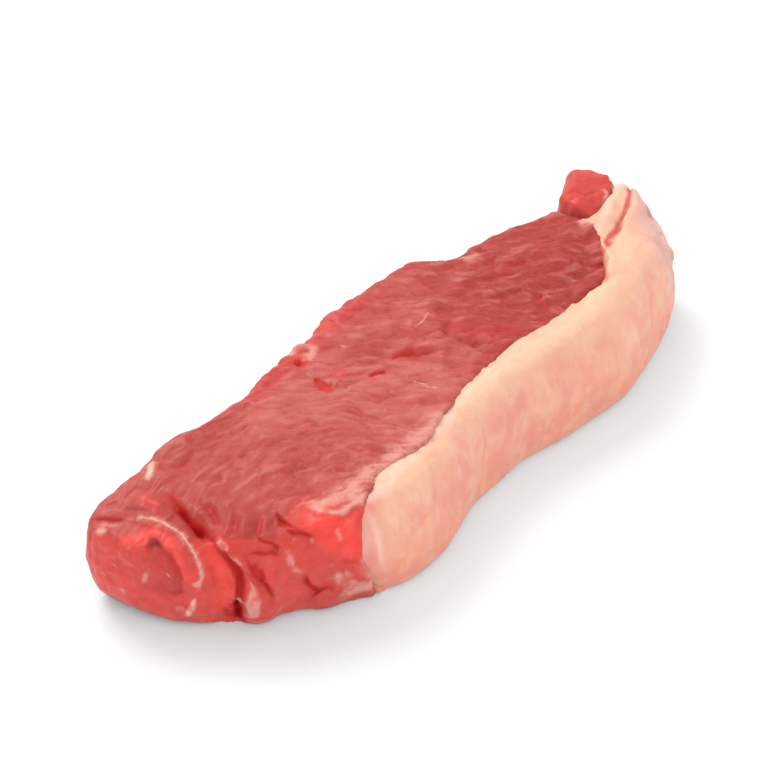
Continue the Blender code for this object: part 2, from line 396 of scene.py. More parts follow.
def buildFibreGrain():
    # streaks of grain along the first axis of the vector, in millimetres
    group, given, result = newGroup(
        "fibreGrain",
        {"Length": 5.0, "Width": 1.0, "Depth": 6.0, "Distortion": 0.6},
        ["Streaks", "Ridges", "Height"],
    )
    size = addNode(group, "ShaderNodeCombineXYZ", X=given["Length"], Y=given["Width"], Z=given["Depth"])
    scaled = divided(group, given["Vector"], size.outputs[0])
    streaks = addNode(group, "ShaderNodeTexNoise", Vector=scaled, Scale=1.0, Detail=3.0, Roughness=0.55,
                      Distortion=given["Distortion"])
    ridged = addNode(group, "ShaderNodeTexNoise", Vector=scaled, Scale=0.62, Detail=1.0, Roughness=0.5,
                     Distortion=given["Distortion"])
    centred = mathNode(group, "ABSOLUTE", mathNode(group, "SUBTRACT", ridged.outputs[0], 0.5))
    ridges = mapRange(group, centred, 0.0, 0.07, 1.0, 0.0)
    spread = mapRange(group, streaks.outputs[0], 0.32, 0.68)
    height = mathNode(group, "ADD", times(group, spread, 0.7), times(group, ridges, 0.3))
    group.links.new(spread, result["Streaks"])
    group.links.new(ridges, result["Ridges"])
    group.links.new(height, result["Height"])
    return group


def buildMottling():
    # soft patches, in metres
    group, given, result = newGroup(
        "mottling",
        {"Size": 0.006, "Low": 0.4, "High": 0.65},
        ["Patches"],
    )
    scaled = divided(group, given["Vector"], given["Size"])
    patches = addNode(group, "ShaderNodeTexNoise", Vector=scaled, Scale=1.0, Detail=2.5, Roughness=0.5,
                      Distortion=0.4)
    spread = mapRange(group, patches.outputs[0], given["Low"], given["High"])
    group.links.new(spread, result["Patches"])
    return group


def buildMoisture():
    # uneven wetness of a cut surface: a roughness, and how much of a film of juice lies on it
    group, given, result = newGroup(
        "moisture",
        {"Size": 0.004, "Wet": 0.3, "Dry": 0.5},
        ["Roughness", "Film"],
    )
    scaled = divided(group, given["Vector"], given["Size"])
    drops = addNode(group, "ShaderNodeTexNoise", Vector=scaled, Scale=1.0, Detail=3.0, Roughness=0.6)
    spread = mapRange(group, drops.outputs[0], 0.35, 0.65)
    rough = addNode(group, "ShaderNodeMapRange", Value=spread, To_Min=given["Wet"], To_Max=given["Dry"])
    film = mapRange(group, drops.outputs[0], 0.35, 0.6, 1.0, 0.2)
    group.links.new(rough.outputs[0], result["Roughness"])
    group.links.new(film, result["Film"])
    return group


fibreGrain = buildFibreGrain()
mottling = buildMottling()
moisture = buildMoisture()
print("node groups built")


# materials

def newMaterial(name):
    material = bpy.data.materials.new(name)
    material.use_nodes = True
    tree = material.node_tree
    return material, tree, tree.nodes["Principled BSDF"]


def readMask(tree, name, output="Fac"):
    return addNode(tree, "ShaderNodeAttribute", {"attribute_name": name}).outputs[output]


def softenBounce(tree, colour, look):
    # red light thrown on to the floor is softened
    ray = addNode(tree, "ShaderNodeLightPath").outputs["Is Diffuse Ray"]
    return mixColour(tree, times(tree, ray, look["bouncedShare"]), colour, look["bouncedGrey"])


# Several of the lean's colours stand in for light: a paler, greyer pink for a painted sheen, darker reds for
# painted shade in creases, hollows, valleys and beside rims, a paler pink partly for painted highlights on
# ridges, and a bright red partly for faces painted as if lit
leanColours = {
    "plain": linear("be514b"),
    "sheenPink": linear("c9685f"),
    "far": linear("ad3b37"),
    "bright": linear("f64a42"),
    "deep": linear("c4302b"),
    "darkestCreaseShade": linear("bd1512"),
    "ridge": linear("cd7068"),
    "valley": linear("ac342d"),
    "filmAndShinePink": linear("e2988a"),
    "sinew": linear("f0bca6"),
    "bouncedGrey": (0.5, 0.5, 0.5, 1.0),
    "bouncedShare": 0.85,
    "subsurface": 0.12,
    "bumpHeight": 0.14,
}


def buildLeanMaterial(name, look):
    material, tree, shader = newMaterial(name)
    place = addNode(tree, "ShaderNodeTexCoord").outputs["Object"]
    fibre = readMask(tree, "fibre", "Vector")
    relief = readMask(tree, "relief")
    grain = readMask(tree, "grain")
    fine = useGroup(tree, fibreGrain, Vector=fibre, Length=2.8, Width=1.1, Depth=4.0, Distortion=1.6)
    finest = useGroup(tree, fibreGrain, Vector=fibre, Length=1.2, Width=0.4, Depth=2.0, Distortion=0.8)
    patches = useGroup(tree, mottling, Vector=place, Size=0.010, Low=0.38, High=0.66).outputs[0]
    blotches = useGroup(tree, mottling, Vector=place, Size=0.0042, Low=0.44, High=0.66).outputs[0]
    specks = useGroup(tree, mottling, Vector=place, Size=0.0019, Low=0.52, High=0.7).outputs[0]
    wet = useGroup(tree, moisture, Vector=place, Size=0.0035, Wet=0.34, Dry=0.5)

    # painted sheen: the band of paler, greyer pink across the top
    colour = mixColour(tree, readMask(tree, "sheenBand"), look["plain"], look["sheenPink"])
    # darker red of the far part, partly painted shade in hollows and along rims
    colour = mixColour(tree, readMask(tree, "far"), colour, look["far"])
    colour = mixColour(tree, times(tree, patches, 0.28), colour, look["valley"])
    # painted highlight on the ridges of the relief, a paler pink, and painted shade in its valleys, a darker
    # red
    colour = mixColour(tree, mapRange(tree, relief, 0.1, 1.0, 0.0, 0.65), colour, look["ridge"])
    colour = mixColour(tree, mapRange(tree, relief, -0.1, -1.0, 0.0, 0.65), colour, look["valley"])
    streaks = times(tree, times(tree, fine.outputs["Streaks"], grain), 0.12)
    colour = mixColour(tree, streaks, colour, look["ridge"])
    thin = times(tree, times(tree, fine.outputs["Ridges"], grain), 0.16)
    colour = mixColour(tree, thin, colour, look["ridge"])
    # bright wet red, partly painted light on the near-end faces and the rim crest
    colour = mixColour(tree, readMask(tree, "wet"), colour, look["bright"])
    colour = mixColour(tree, times(tree, blotches, 0.22), colour, look["valley"])
    colour = mixColour(tree, times(tree, specks, 0.12), colour, look["ridge"])
    # painted shade: a deeper, then darker red in creases, folds, notches and pits, where the coat is taken
    # away too
    deep = readMask(tree, "deep")
    colour = mixColour(tree, mapRange(tree, deep, 0.05, 0.55), colour, look["deep"])
    colour = mixColour(tree, mapRange(tree, deep, 0.5, 1.0), colour, look["darkestCreaseShade"])
    worn = times(tree, finest.outputs["Streaks"], 0.18)
    # pale pink film of fat, which also carries painted highlights on the wet corner
    film = mathNode(tree, "SUBTRACT", readMask(tree, "film"), worn)
    colour = mixColour(tree, mapRange(tree, film, 0.0, 0.8), colour, look["filmAndShinePink"])
    pale = mathNode(tree, "SUBTRACT", readMask(tree, "pale"), worn)
    colour = mixColour(tree, mapRange(tree, pale, 0.1, 0.7), colour, look["sinew"])
    tree.links.new(softenBounce(tree, colour, look), shader.inputs["Base Color"])

    tree.links.new(wet.outputs["Roughness"], shader.inputs["Roughness"])
    juice = mathNode(tree, "MULTIPLY_ADD", readMask(tree, "gloss"), 0.35)
    juice.node.inputs[2].default_value = 0.06
    juice = times(tree, juice, mapRange(tree, deep, 0.0, 0.5, 1.0, 0.0))
    tree.links.new(times(tree, wet.outputs["Film"], juice), shader.inputs["Coat Weight"])
    shader.inputs["Coat Roughness"].default_value = 0.2
    shader.inputs["Specular IOR Level"].default_value = 0.14
    shader.inputs["Subsurface Weight"].default_value = look["subsurface"]
    shader.inputs["Subsurface Radius"].default_value = (1.0, 0.25, 0.18)
    shader.inputs["Subsurface Scale"].default_value = 0.002
    height = mathNode(tree, "ADD", times(tree, fine.outputs["Height"], 0.75),
                      times(tree, finest.outputs["Height"], 0.25))
    bump = addNode(tree, "ShaderNodeBump", Strength=0.6, Distance=look["bumpHeight"] * mm,
                   Height=times(tree, height, grain))
    tree.links.new(bump.outputs[0], shader.inputs["Normal"])
    return material


fatColours = {
    "cream": linear("f6cca9"),
    "plain": linear("f0ae92"),
    "salmon": linear("ee9676"),
    "blush": linear("e98f80"),
    "milky": linear("fad2c2"),
    "red": linear("d5524a"),
    "membrane": linear("d9aaa4"),
    "bouncedGrey": (0.72, 0.72, 0.72, 1.0),
    "bouncedShare": 0.85,
    "subsurface": 0.15,
}


def buildFatMaterial(name, look):
    material, tree, shader = newMaterial(name)
    place = addNode(tree, "ShaderNodeTexCoord").outputs["Object"]
    large = useGroup(tree, mottling, Vector=place, Size=0.014, Low=0.4, High=0.62).outputs[0]
    small = useGroup(tree, mottling, Vector=place, Size=0.0045, Low=0.4, High=0.68).outputs[0]
    upright = addNode(tree, "ShaderNodeMapping", Vector=place)
    upright.inputs["Scale"].default_value = (1.0, 1.0, 0.3)
    streaky = useGroup(tree, mottling, Vector=upright.outputs[0], Size=0.0022, Low=0.42, High=0.66).outputs[0]
    wet = useGroup(tree, moisture, Vector=place, Size=0.006, Wet=0.38, Dry=0.52)
    colour = mixColour(tree, readMask(tree, "low"), look["plain"], look["salmon"])
    colour = mixColour(tree, times(tree, large, 0.65), colour, look["blush"])
    colour = mixColour(tree, times(tree, small, 0.32), colour, look["cream"])
    colour = mixColour(tree, times(tree, streaky, 0.3), colour, look["blush"])
    colour = mixColour(tree, readMask(tree, "blush"), colour, look["blush"])
    colour = mixColour(tree, readMask(tree, "cream"), colour, look["cream"])
    colour = mixColour(tree, readMask(tree, "milky"), colour, look["milky"])
    colour = mixColour(tree, readMask(tree, "membrane"), colour, look["membrane"])
    red = mathNode(tree, "SUBTRACT", readMask(tree, "red"), times(tree, small, 0.15))
    colour = mixColour(tree, mapRange(tree, red, 0.05, 0.9), colour, look["red"])
    tree.links.new(softenBounce(tree, colour, look), shader.inputs["Base Color"])
    tree.links.new(wet.outputs["Roughness"], shader.inputs["Roughness"])
    tree.links.new(times(tree, wet.outputs["Film"], 0.15), shader.inputs["Coat Weight"])
    shader.inputs["Coat Roughness"].default_value = 0.25
    shader.inputs["Specular IOR Level"].default_value = 0.3
    shader.inputs["Subsurface Weight"].default_value = look["subsurface"]
    shader.inputs["Subsurface Radius"].default_value = (1.0, 0.5, 0.3)
    shader.inputs["Subsurface Scale"].default_value = 0.003
    height = mathNode(tree, "ADD", small, streaky)
    bump = addNode(tree, "ShaderNodeBump", Strength=0.4, Distance=0.15 * mm, Height=height)
    tree.links.new(bump.outputs[0], shader.inputs["Normal"])
    return material


leanMaterial = buildLeanMaterial("leanMeat", leanColours)
fatMaterial = buildFatMaterial("softFat", fatColours)
print("materials built")


# where the folds, rims and marks run over the steak

places = {
    "silverskin": [(-90.5, 21.2, 25.8), (-88.7, 19.6, 26), (-87.6, 17.7, 26.3), (-87.2, 14.3, 26.4),
        (-87, 10.8, 25.9), (-87.8, 7.1, 25.4), (-89.1, 3.9, 24.7), (-89.8, 1.7, 22.7), (-89.4, 1, 19.7),
        (-89.8, 0.8, 17.3), (-90.3, 1.1, 15.5)],
    "silverFoot": [(-91.8, 3.1, 15.1), (-91, 1.8, 15), (-89.8, 1, 14.8)],
    "hollow": [(-94, 13.8, 25.3), (-92, 13.2, 25.6), (-91.8, 11.3, 25.5), (-92.7, 8.3, 25.1),
        (-93.4, 6.6, 23.9), (-93.5, 5.6, 22), (-93, 4.5, 19.6), (-92.4, 3.6, 16.6), (-92.3, 4.5, 12.5),
        (-92.9, 7.7, 8.6), (-94.6, 12.4, 8.5), (-95.9, 16.7, 9.6), (-96.6, 20.2, 11.5), (-97.2, 21.9, 14.7),
        (-97.8, 20, 19.3), (-97.6, 17, 23.5), (-96.9, 14.5, 24.5)],
    "rimCrest": [(-96.4, 17.9, 25), (-95.2, 15.8, 25.1), (-93.2, 15, 25.4), (-90.9, 14.6, 25.8),
        (-90.4, 12.6, 25.9), (-91.3, 9, 25.4), (-92.6, 6.4, 24.7), (-93, 4.9, 22.4), (-92.6, 3.6, 19.7),
        (-91.9, 2.8, 17.2)],
    "rimOuter": [(-91, 19.4, 25.6), (-90.6, 17.2, 25.7), (-90.2, 14.7, 25.9), (-89.3, 12, 26.1),
        (-89.2, 9.7, 25.8)],
    "bandDark": [(-94, 30.2, 24.4), (-93.1, 26.6, 25.4), (-91.8, 23.8, 25.7), (-91, 21.4, 25.7)],
    "bandPale": [(-95.4, 28.7, 24.3), (-94.6, 25.5, 25.2), (-92.9, 22.9, 25.5), (-91.6, 20.9, 25.6)],
    "paleDab": [(-96.3, 27.8, 23.3), (-96.1, 24.9, 24.8), (-95.6, 23.2, 25.1)],
    "lumpLeft": [(-96.9, 18.6, 24.7), (-96.9, 16.6, 24.7), (-97.7, 16.4, 23.2)],
    "fleckLong": [(-96.3, 11.3, 19.2), (-96.2, 12.5, 16.8), (-95.9, 13.9, 13.6)],
    "fleckRight": [(-94.3, 7.7, 17.4), (-94.1, 6.9, 18.3)],
    "fleckMid": [(-97.5, 16.1, 19.1), (-97.6, 15.1, 19.9)],
    "fleckLeft": [(-97.6, 21.4, 17.9), (-97.4, 19.9, 16.9)],
    "fleckLow": [(-96.2, 20.4, 8.6), (-96.3, 18.7, 10.1)],
    "fleckEdge": [(-97.4, 25.1, 14.6), (-97.2, 24.2, 12.4), (-96.7, 23.9, 9.5)],
    "fleckBottom": [(-92.3, 7.1, 5.8), (-92.1, 5.7, 7.8), (-91.5, 5.3, 5.8)],
    "strapFat": [(-90.8, 1.8, 11.6), (-91, 2.5, 10.4), (-91, 3.2, 8.5), (-90.9, 4, 5.9), (-90.3, 4.9, 3.6)],
    "hookLump": [(-91.3, 2.5, 13.6), (-90.5, 1.3, 13.9), (-89.4, 0.8, 12.2)],
    "strapSide": [(-86.4, -0.3, 22.2), (-86, -2.2, 18.5), (-85, -2.4, 11.9), (-84.6, -0.8, 6)],
    "strapCrease": [(-87.8, 0.8, 21.4), (-87.4, -0.5, 17.2), (-87.5, -0.7, 12.2)],
    "streakTop": [(-83.7, 24.9, 27.5), (-83.4, 22.7, 27.3), (-83.2, 20.8, 27.1), (-82.5, 17.2, 25.9)],
    "creaseTop": [(-89.8, 29.8, 25.9), (-88.9, 28.1, 26.2), (-87.3, 27.2, 26.7)],
    "ridgeTop": [(-87.4, 26.9, 26.7), (-86, 25.5, 27), (-85.5, 23.8, 27)],
    "creaseMid": [(-89.1, 24.6, 26.3), (-86.9, 22.1, 26.6), (-86.2, 18.5, 26.5)],
    "ridgeMid": [(-91.4, 29.5, 25.6), (-89.7, 26.3, 26.1), (-88.9, 22.4, 26.2)],
    "cleft": [(-79.4, 17.5, 26.5), (-80.1, 15.2, 25.8), (-81.6, 12.3, 25.7), (-82.4, 9.7, 25.1),
        (-83.8, 5.9, 25), (-84.5, 3, 24.8), (-84.7, 1.6, 24.9)],
    "cleftWide": [(-82.2, 10.4, 25.4), (-83.2, 7.6, 25), (-83.9, 5.3, 25.1), (-84.3, 3.5, 24.9)],
    "cleftLow": [(-85.1, 0.6, 24.7), (-85.7, -1.5, 23.4), (-85.6, -4, 21.5), (-85.5, -6.2, 19.2),
        (-84.9, -6.8, 15.4), (-84.5, -6.1, 10.3), (-82.7, -3.6, 3.3)],
    "sinewKnot": [(-85.4, 0.1, 24.3), (-85.2, -1.2, 25.4), (-85.1, -2.6, 25.2), (-85.1, -3.8, 24.6)],
    "sinewBand": [(-85.4, -3.4, 23.5), (-85.5, -5.4, 22.4), (-85, -7.1, 20.7)],
    "seamFat": [(-84.6, -7.9, 20), (-84.2, -8.7, 17.3), (-83.9, -8.9, 14.2), (-83.3, -9, 9.9),
        (-82.6, -7.7, 4.2)],
    "seamFatHorn": [(-84.3, -5, 8.2), (-84, -7.1, 9.8)],
    "darkGap": [(-84.2, -4.3, 8), (-83.7, -4.6, 5.6), (-81.9, -3.3, 1.1)],
    "shoulderRidgeA": [(-79, 13.8, 26.7), (-79.4, 11, 27.1), (-80, 8.2, 27.1), (-81, 5.3, 26.9),
        (-82.3, 2.6, 26.8), (-84.3, -0.3, 26.4)],
    "foldA": [(-76.4, 9.6, 28), (-78, 6.9, 27.8), (-80, 4.2, 27.6), (-82.5, 0.6, 27.3)],
    "shoulderRidgeB": [(-74.8, 5.9, 28.3), (-76.1, 2.9, 28.4), (-79, 0.1, 28.2), (-81.9, -1.8, 27.6),
        (-84.6, -2.8, 26.5)],
    "foldB": [(-76, 1.1, 28.5), (-78.7, -1.1, 28.2), (-81.4, -2.6, 27.7), (-84.2, -3.7, 26.7)],
    "shoulderRidgeC": [(-75.4, -1.4, 28.6), (-79, -4.3, 28.1), (-82.9, -6.3, 27.3), (-83.8, -7.2, 25.7)],
    "foldC": [(-72.6, -3.4, 28.6), (-74.7, -5.5, 28.2), (-78.5, -7.4, 27.9), (-81, -8.8, 27.5)],
    "shoulderRidgeD": [(-73.1, -5.8, 27.9), (-76.8, -7.9, 27.7)],
    "frontTop": [(-84.1, -7.7, 24.3), (-82.4, -10.2, 24.7), (-80, -11.9, 24.1), (-77.6, -13, 22.7)],
    "foldFront": [(-84.3, -7.2, 24.8), (-84.1, -8.5, 22.6), (-83.6, -9.7, 19.5), (-82, -11.3, 15.8),
        (-80.1, -12.1, 11.9), (-80.1, -11.3, 7.9)],
    "foldFrontDeep": [(-83.7, -9, 22.8), (-83.2, -10.1, 20.3), (-82.4, -11.1, 17.5), (-81.4, -11.5, 14.3)],
    "paleStreak": [(-76.7, -12.8, 23.8), (-75.9, -13.5, 22.1), (-74.9, -14, 19.5), (-73.3, -14.7, 16.1),
        (-72.2, -15.6, 13.1)],
    "streakCrease": [(-72.2, -15.6, 14), (-71.2, -16.3, 10.9), (-69.9, -17.4, 8.7), (-68.8, -18.6, 8)],
    "notchUpperRun": [(-73.6, -11.4, 27.4), (-72.9, -13.7, 26.5), (-71, -15.5, 25.6), (-69.9, -17.8, 24.9)],
    "flapUpper": [(-70.1, -5.7, 28.3), (-70.4, -9.1, 27.9), (-71.1, -12.1, 27.9)],
    "notchLowerRun": [(-78.9, -11.7, 25.7), (-76.9, -12.8, 23.9)],
    "flapLower": [(-79.1, -8.2, 27.8), (-78.7, -10.4, 27.3), (-76.8, -11.9, 25.5)],
    "notchSmall": [(-63.4, -9.1, 28.5), (-65.8, -9.4, 28.3), (-68.2, -10, 27.6)],
    "smallPaleA": [(-73.5, -13.8, 25.3), (-72.9, -14.6, 24.2)],
    "smallPaleB": [(-70.6, -16.5, 24.8), (-70.5, -17.7, 23.4)],
    "smallPaleC": [(-68.3, -20.4, 17.9), (-67.5, -21, 15.8)],
    "foldLow": [(-70, -15.9, 4.7), (-69.4, -17.8, 7.3), (-67.9, -19.7, 8.8), (-65.6, -20.7, 6.8)],
    "wetFacet": [(-68, -10.2, 27.5), (-63.9, -9.6, 28.5), (-64.1, -12.6, 28.4), (-65.4, -15.9, 28.4),
        (-63, -19.9, 28.4), (-59.7, -20.5, 28.3), (-54.9, -20, 28.1), (-57.6, -22.9, 27.8),
        (-58.3, -22.9, 21.8), (-58.7, -22.9, 12.9), (-60.5, -22.4, 10.2), (-64, -22, 13.6),
        (-67.1, -21.2, 17.7), (-68.4, -20.2, 22.6), (-69.9, -17.9, 24.7), (-71.8, -14.6, 26.2)],
    "wetHollow": [(-67.8, -17, 28.3), (-67.5, -20.2, 26.2), (-64, -22, 21.7), (-60.3, -22.5, 18.3)],
    "wetShine": [(-65.6, -21.2, 25.4), (-65.3, -21.5, 24.1), (-65.3, -21.6, 22.9)],
    "wetShineB": [(-62.8, -21.6, 26), (-61, -22, 25.9)],
    "wetDark": [(-66.2, -21.5, 17.9), (-62.4, -22.2, 14.1), (-59.5, -22.6, 14.6)],
    "pinkBit": [(-67.9, -20.6, 14.3), (-66, -21.3, 11.9), (-63, -21.5, 6.9)],
    "pinkBitB": [(-65, -21.8, 13.2), (-62.8, -22, 10.4), (-60.7, -21.9, 5.5)],
    "filmCorner": [(-63.2, -12.6, 28.4), (-64.8, -14.9, 28.4), (-64, -17.2, 28.5), (-62.5, -19.6, 28.4),
        (-59.3, -20.2, 28.3), (-54.5, -19.8, 28.1)],
    "filmLobe": [(-63.7, -13.8, 28.4), (-61.6, -14.9, 28.4), (-59.2, -16.1, 28.3), (-57.4, -17.7, 28.2),
        (-53.9, -18.5, 28)],
    "filmSeam": [(-57.6, -15.5, 28.2), (-52.3, -15.9, 28), (-47.7, -16.2, 27.9), (-42.8, -16.9, 28),
        (-38.9, -17.6, 28.1), (-34.4, -18, 28.2), (-29.4, -18.5, 28.4), (-24.2, -18.7, 28.6),
        (-19, -18.8, 28.8)],
    "filmCream": [(-54.2, -23, 28.7), (-51.4, -23.3, 28.6), (-48.4, -23.6, 28.3), (-44.7, -22.3, 28.4),
        (-41.6, -21.7, 28.5), (-36.5, -21.8, 28.6), (-30.3, -22, 28.7), (-24.2, -21.5, 28.7),
        (-18.9, -20.7, 28.6), (-12.9, -19.4, 28.7), (-9.7, -19, 28.7)],
    "fatNearEdge": [(-54.3, -20.9, 28.2), (-56.8, -23.1, 27.4), (-57.6, -23.2, 23.9), (-58, -23.3, 19.4),
        (-58.2, -23.3, 15.2), (-58.4, -23, 10.6), (-59.5, -22.2, 7), (-60.3, -21.6, 3.6)],
    "fatNearPale": [(-54.6, -22.4, 28.8), (-55.9, -24.2, 24.4), (-55.7, -25.2, 18.7), (-55, -26.1, 13.1),
        (-54.5, -26.3, 10.5)],
    "fatNearRidge": [(-57.1, -24, 10.5), (-56.6, -24.1, 21.8), (-56.1, -25, 16.7), (-55.2, -25.8, 12)],
    "fatNearGroove": [(-55.9, -24.6, 21.8), (-55.6, -25.3, 18), (-54.8, -26.2, 13.1)],
    "tearLow": [(-14.9, 6, 28.5), (-12.3, 5.1, 28.4), (-8.3, 4.2, 28.3)],
    "tearMid": [(-12.3, 11.1, 28.6), (-10.1, 9.6, 28.5), (-8.2, 7.9, 28.4)],
    "stepFace": [(-2.5, 5.8, 28.3), (0.4, 4.7, 28.5), (2.6, 1.7, 28.7), (4.8, -3.8, 28.5)],
    "stepTop": [(0.6, 7.6, 28.4), (3.6, 5.4, 28.6), (6, 2.5, 28.8), (7.7, -1.8, 28.8)],
    "veinLong": [
        (-9.8, -1.9, 28), (-9.2, -3.6, 28), (-8.7, -5.5, 28.1), (-9.3, -8.3, 28.4), (-9, -10.8, 28.6),
        (-8.2, -13.6, 28.7),
    ],
    "veinBright": [(-8.8, -5.7, 28.1), (-9.3, -8.1, 28.4)],
    "veinFar": [(18.1, 8.9, 28.8), (15.6, 8.3, 28.9), (13.6, 7.8, 28.9), (11.2, 7.8, 28.9), (9, 7.9, 28.8)],
    "veinBack": [(-6.8, 19.9, 28.7), (-6.6, 18.2, 28.8), (-6.5, 16.4, 28.9)],
    "veinNearFat": [(-23.5, -9.7, 28.5), (-23.7, -11.7, 28.5), (-22.8, -13.4, 28.5)],
    "veinNear": [(-38, -1.5, 28.5), (-40.1, -3.2, 28.5), (-42.1, -4.5, 28.4)],
    "dotA": [(-23, -5, 28.3), (-23.2, -5.5, 28.3)],
    "dotB": [(-36.6, 0.5, 28.7), (-36.6, 0.1, 28.7)],
    "dotC": [(-21.5, 0.8, 28.5), (-21.4, 0.3, 28.5)],
    "scoopEdge": [
        (17.9, 4, 28.7), (13.8, 2.3, 28.9), (11.2, -0.4, 29), (10.7, -3.5, 28.8), (10.9, -6.6, 28.6),
        (11.3, -9.3, 28.5), (13.2, -10.8, 28.6), (15.9, -12.1, 28.6), (18.7, -13.6, 28.6),
    ],
    "scoopDark": [(14.2, -11, 28.6), (16, -11.7, 28.6), (17.6, -12.5, 28.6)],
    "ridge1": [(-9.7, 17.5, 28.7), (-5.8, 14.1, 28.8), (-0.3, 11.9, 28.6), (4.9, 10.9, 28.8)],
    "valley1": [(-11.1, 15, 28.7), (-7.8, 12.1, 28.6), (-3.6, 9.6, 28.4)],
    "ridge2": [(0, 16.7, 29), (4, 13.3, 28.9), (9.6, 11.9, 29)],
    "valley2": [(1, 12.7, 28.8), (4.7, 9.2, 28.6), (8.8, 5.9, 28.8)],
    "ridge3": [(18.8, 12.6, 28.8), (23.5, 8.1, 28.5), (26.5, 2.4, 28.4)],
    "valley3": [(15.2, 11.7, 29), (20.5, 6.1, 28.5), (23.6, 0.5, 28.6)],
    "ridge4": [(32.5, 11, 28.5), (37.2, 7.9, 28.7), (43, 4.9, 29.1)],
    "valley4": [(33.3, 6.9, 28.4), (39.9, 3.5, 28.8), (46.4, 0.1, 29)],
    "ridge5": [(35.8, -0.7, 28.4), (40.4, -3.8, 28.2), (47.6, -6.9, 27.9)],
    "valley5": [(29.9, 1.6, 28.4), (35.2, -2.6, 28.2), (42.2, -5.7, 27.9)],
    "ridge6": [(47.1, 5.1, 29.2), (54.1, 1.9, 29), (61.3, -1.6, 28.6)],
    "valley6": [(43.5, 5.3, 29.1), (47.8, 2.5, 29.2), (53, -0.3, 28.9)],
    "ridge7": [(50.6, -3.4, 28.7), (56.6, -5.7, 28.1), (62.9, -8, 26.7)],
    "valley7": [(46.9, -4.2, 28.5), (53.9, -7.5, 27.8), (61.9, -10.2, 25.9)],
    "ridge8": [(42.4, 12.9, 28.9), (45.9, 10.5, 29.1), (51.7, 8.1, 29.3)],
    "valley8": [(38, 11.5, 28.7), (42.9, 8.6, 29), (46.4, 6.2, 29.2)],
    "ridge9": [(-31.4, 14.3, 28.3), (-26.4, 8.8, 28.5), (-22.1, 2.8, 28.7)],
    "valley9": [(-25.7, 4.8, 28.8), (-22.6, -0.5, 28.5), (-17.3, -4.4, 28.1)],
    "ridge10": [(-51.7, 22.1, 28.2), (-46.6, 18.3, 28.5), (-43.2, 13.3, 28.6)],
    "valley10": [(-50.7, 24.4, 28.2), (-46.5, 21.4, 28.4), (-43.6, 18.1, 28.6)],
    "ridge11": [(-70.4, 24.6, 28.8), (-65.3, 24.9, 28.8), (-62.6, 23, 28.5), (-62.8, 18.4, 28.2)],
    "valley11": [(-73.2, 24, 28.7), (-67.7, 22.1, 28.5), (-65.3, 17.9, 28.2)],
    "ridge12": [(-73.9, 16, 28.1), (-68.2, 15.8, 28.2), (-65.7, 13.8, 28.4), (-67.7, 8.2, 28.5)],
    "valley12": [(-72.7, 12.4, 28.3), (-68.6, 12.5, 28.4), (-69.6, 9.1, 28.4)],
    "ridge13": [(-61.5, 7.3, 28.6), (-53.4, 5.9, 28.6), (-47.4, 2.8, 28.6)],
    "valley13": [(-65.3, 6, 28.5), (-58, 6.4, 28.6), (-49.8, 5.5, 28.7)],
    "ridge14": [(-61.1, 1.8, 28.3), (-54.5, 0.7, 28.2), (-47.6, -1.8, 28.3)],
    "valley14": [(-59.6, -1.5, 28.2), (-54.3, -2.1, 28.1), (-48.5, -5.4, 28.3)],
    "valley15": [(-60.7, 11.5, 28.7), (-53.6, 11.7, 28.7), (-48.2, 11.2, 28.6)],
    "backFatLump": [(-16.3, 27.9, 27.7), (-13.8, 27.5, 28), (-12.7, 25.8, 28.5), (-12.4, 23.9, 28.6)],
    "backFatCurl": [(-12.4, 23.9, 28.6), (-14.5, 22.7, 28.6), (-15.5, 23.8, 28.6)],
    "backTear": [(-20.1, 24.8, 28.6), (-18.3, 23.7, 28.6), (-15.9, 22.9, 28.6)],
    "backRed": [(-38.7, 24.1, 28.6), (-32.4, 25.1, 28.7), (-25.2, 26.3, 28.5), (-20, 26.4, 28.5)],
    "backLumpA": [(-4.4, 27.4, 28.5), (-1.6, 27.2, 28.5), (1.2, 27, 28.5)],
    "backDarkA": [(-0.6, 26.7, 28.5), (1.1, 27.2, 28.5)],
    "backLumpB": [(7.3, 26.7, 28.6), (9.7, 26.2, 28.6), (11.8, 25.5, 28.7)],
    "backPaleLine": [(-44.5, 25.3, 28.3), (-40.7, 24.2, 28.6), (-38.9, 21.6, 28.7), (-37, 19.9, 28.7)],
    "nearFatStrip": [(-79.5, 24.1, 28.1), (-77.7, 25.3, 28.5), (-75, 26.7, 28.8), (-71.9, 27.9, 28.9)],
    "nearFatDab": [(-77.4, 28.1, 28.7), (-76.4, 27.7, 28.8)],
    "nearFatWide": [(-74.1, 27.7, 28.9), (-72.2, 26.8, 28.9)],
    "flake": [(48, 17.6, 27.7), (49.7, 16.5, 28.3), (48.5, 14.4, 29)],
    "flakePale": [(43.1, 19, 27.7), (43, 15.8, 28.8), (45.1, 13.8, 28.9), (48.5, 12.6, 29.1)],
    "backNotch": [(47.7, 13.1, 29), (48.6, 13.4, 29), (49.3, 13.5, 29)],
    "rimShade": [(65.3, -13.3, 24.9), (60.2, -12.9, 25.4), (55.3, -12.1, 26.1), (50.5, -11.3, 26.6),
        (45.4, -11.2, 26.4)],
    "rimDeep": [(62.4, -12.7, 25.2), (65.7, -12.8, 24.9), (65.6, -14, 26.5)],
    "farPit": [(40.2, -9.3, 26.9), (42, -9.2, 27), (43.5, -9.2, 27)],
    "farFleckA": [(44.4, -9.2, 27), (43.5, -10.7, 26.5), (43.3, -11.7, 26.2)],
    "farFleckB": [(47.3, -11, 26.5), (48.9, -11.3, 26.5)],
    "creamRim": [(-6.4, -19.2, 28.6), (2.8, -19.1, 28.5), (12.6, -20.2, 28.4), (21.5, -21.9, 28.5),
        (29.1, -23, 28.9), (37.3, -23.8, 29.4), (46.3, -23.3, 30), (53.3, -21.4, 30.2)],
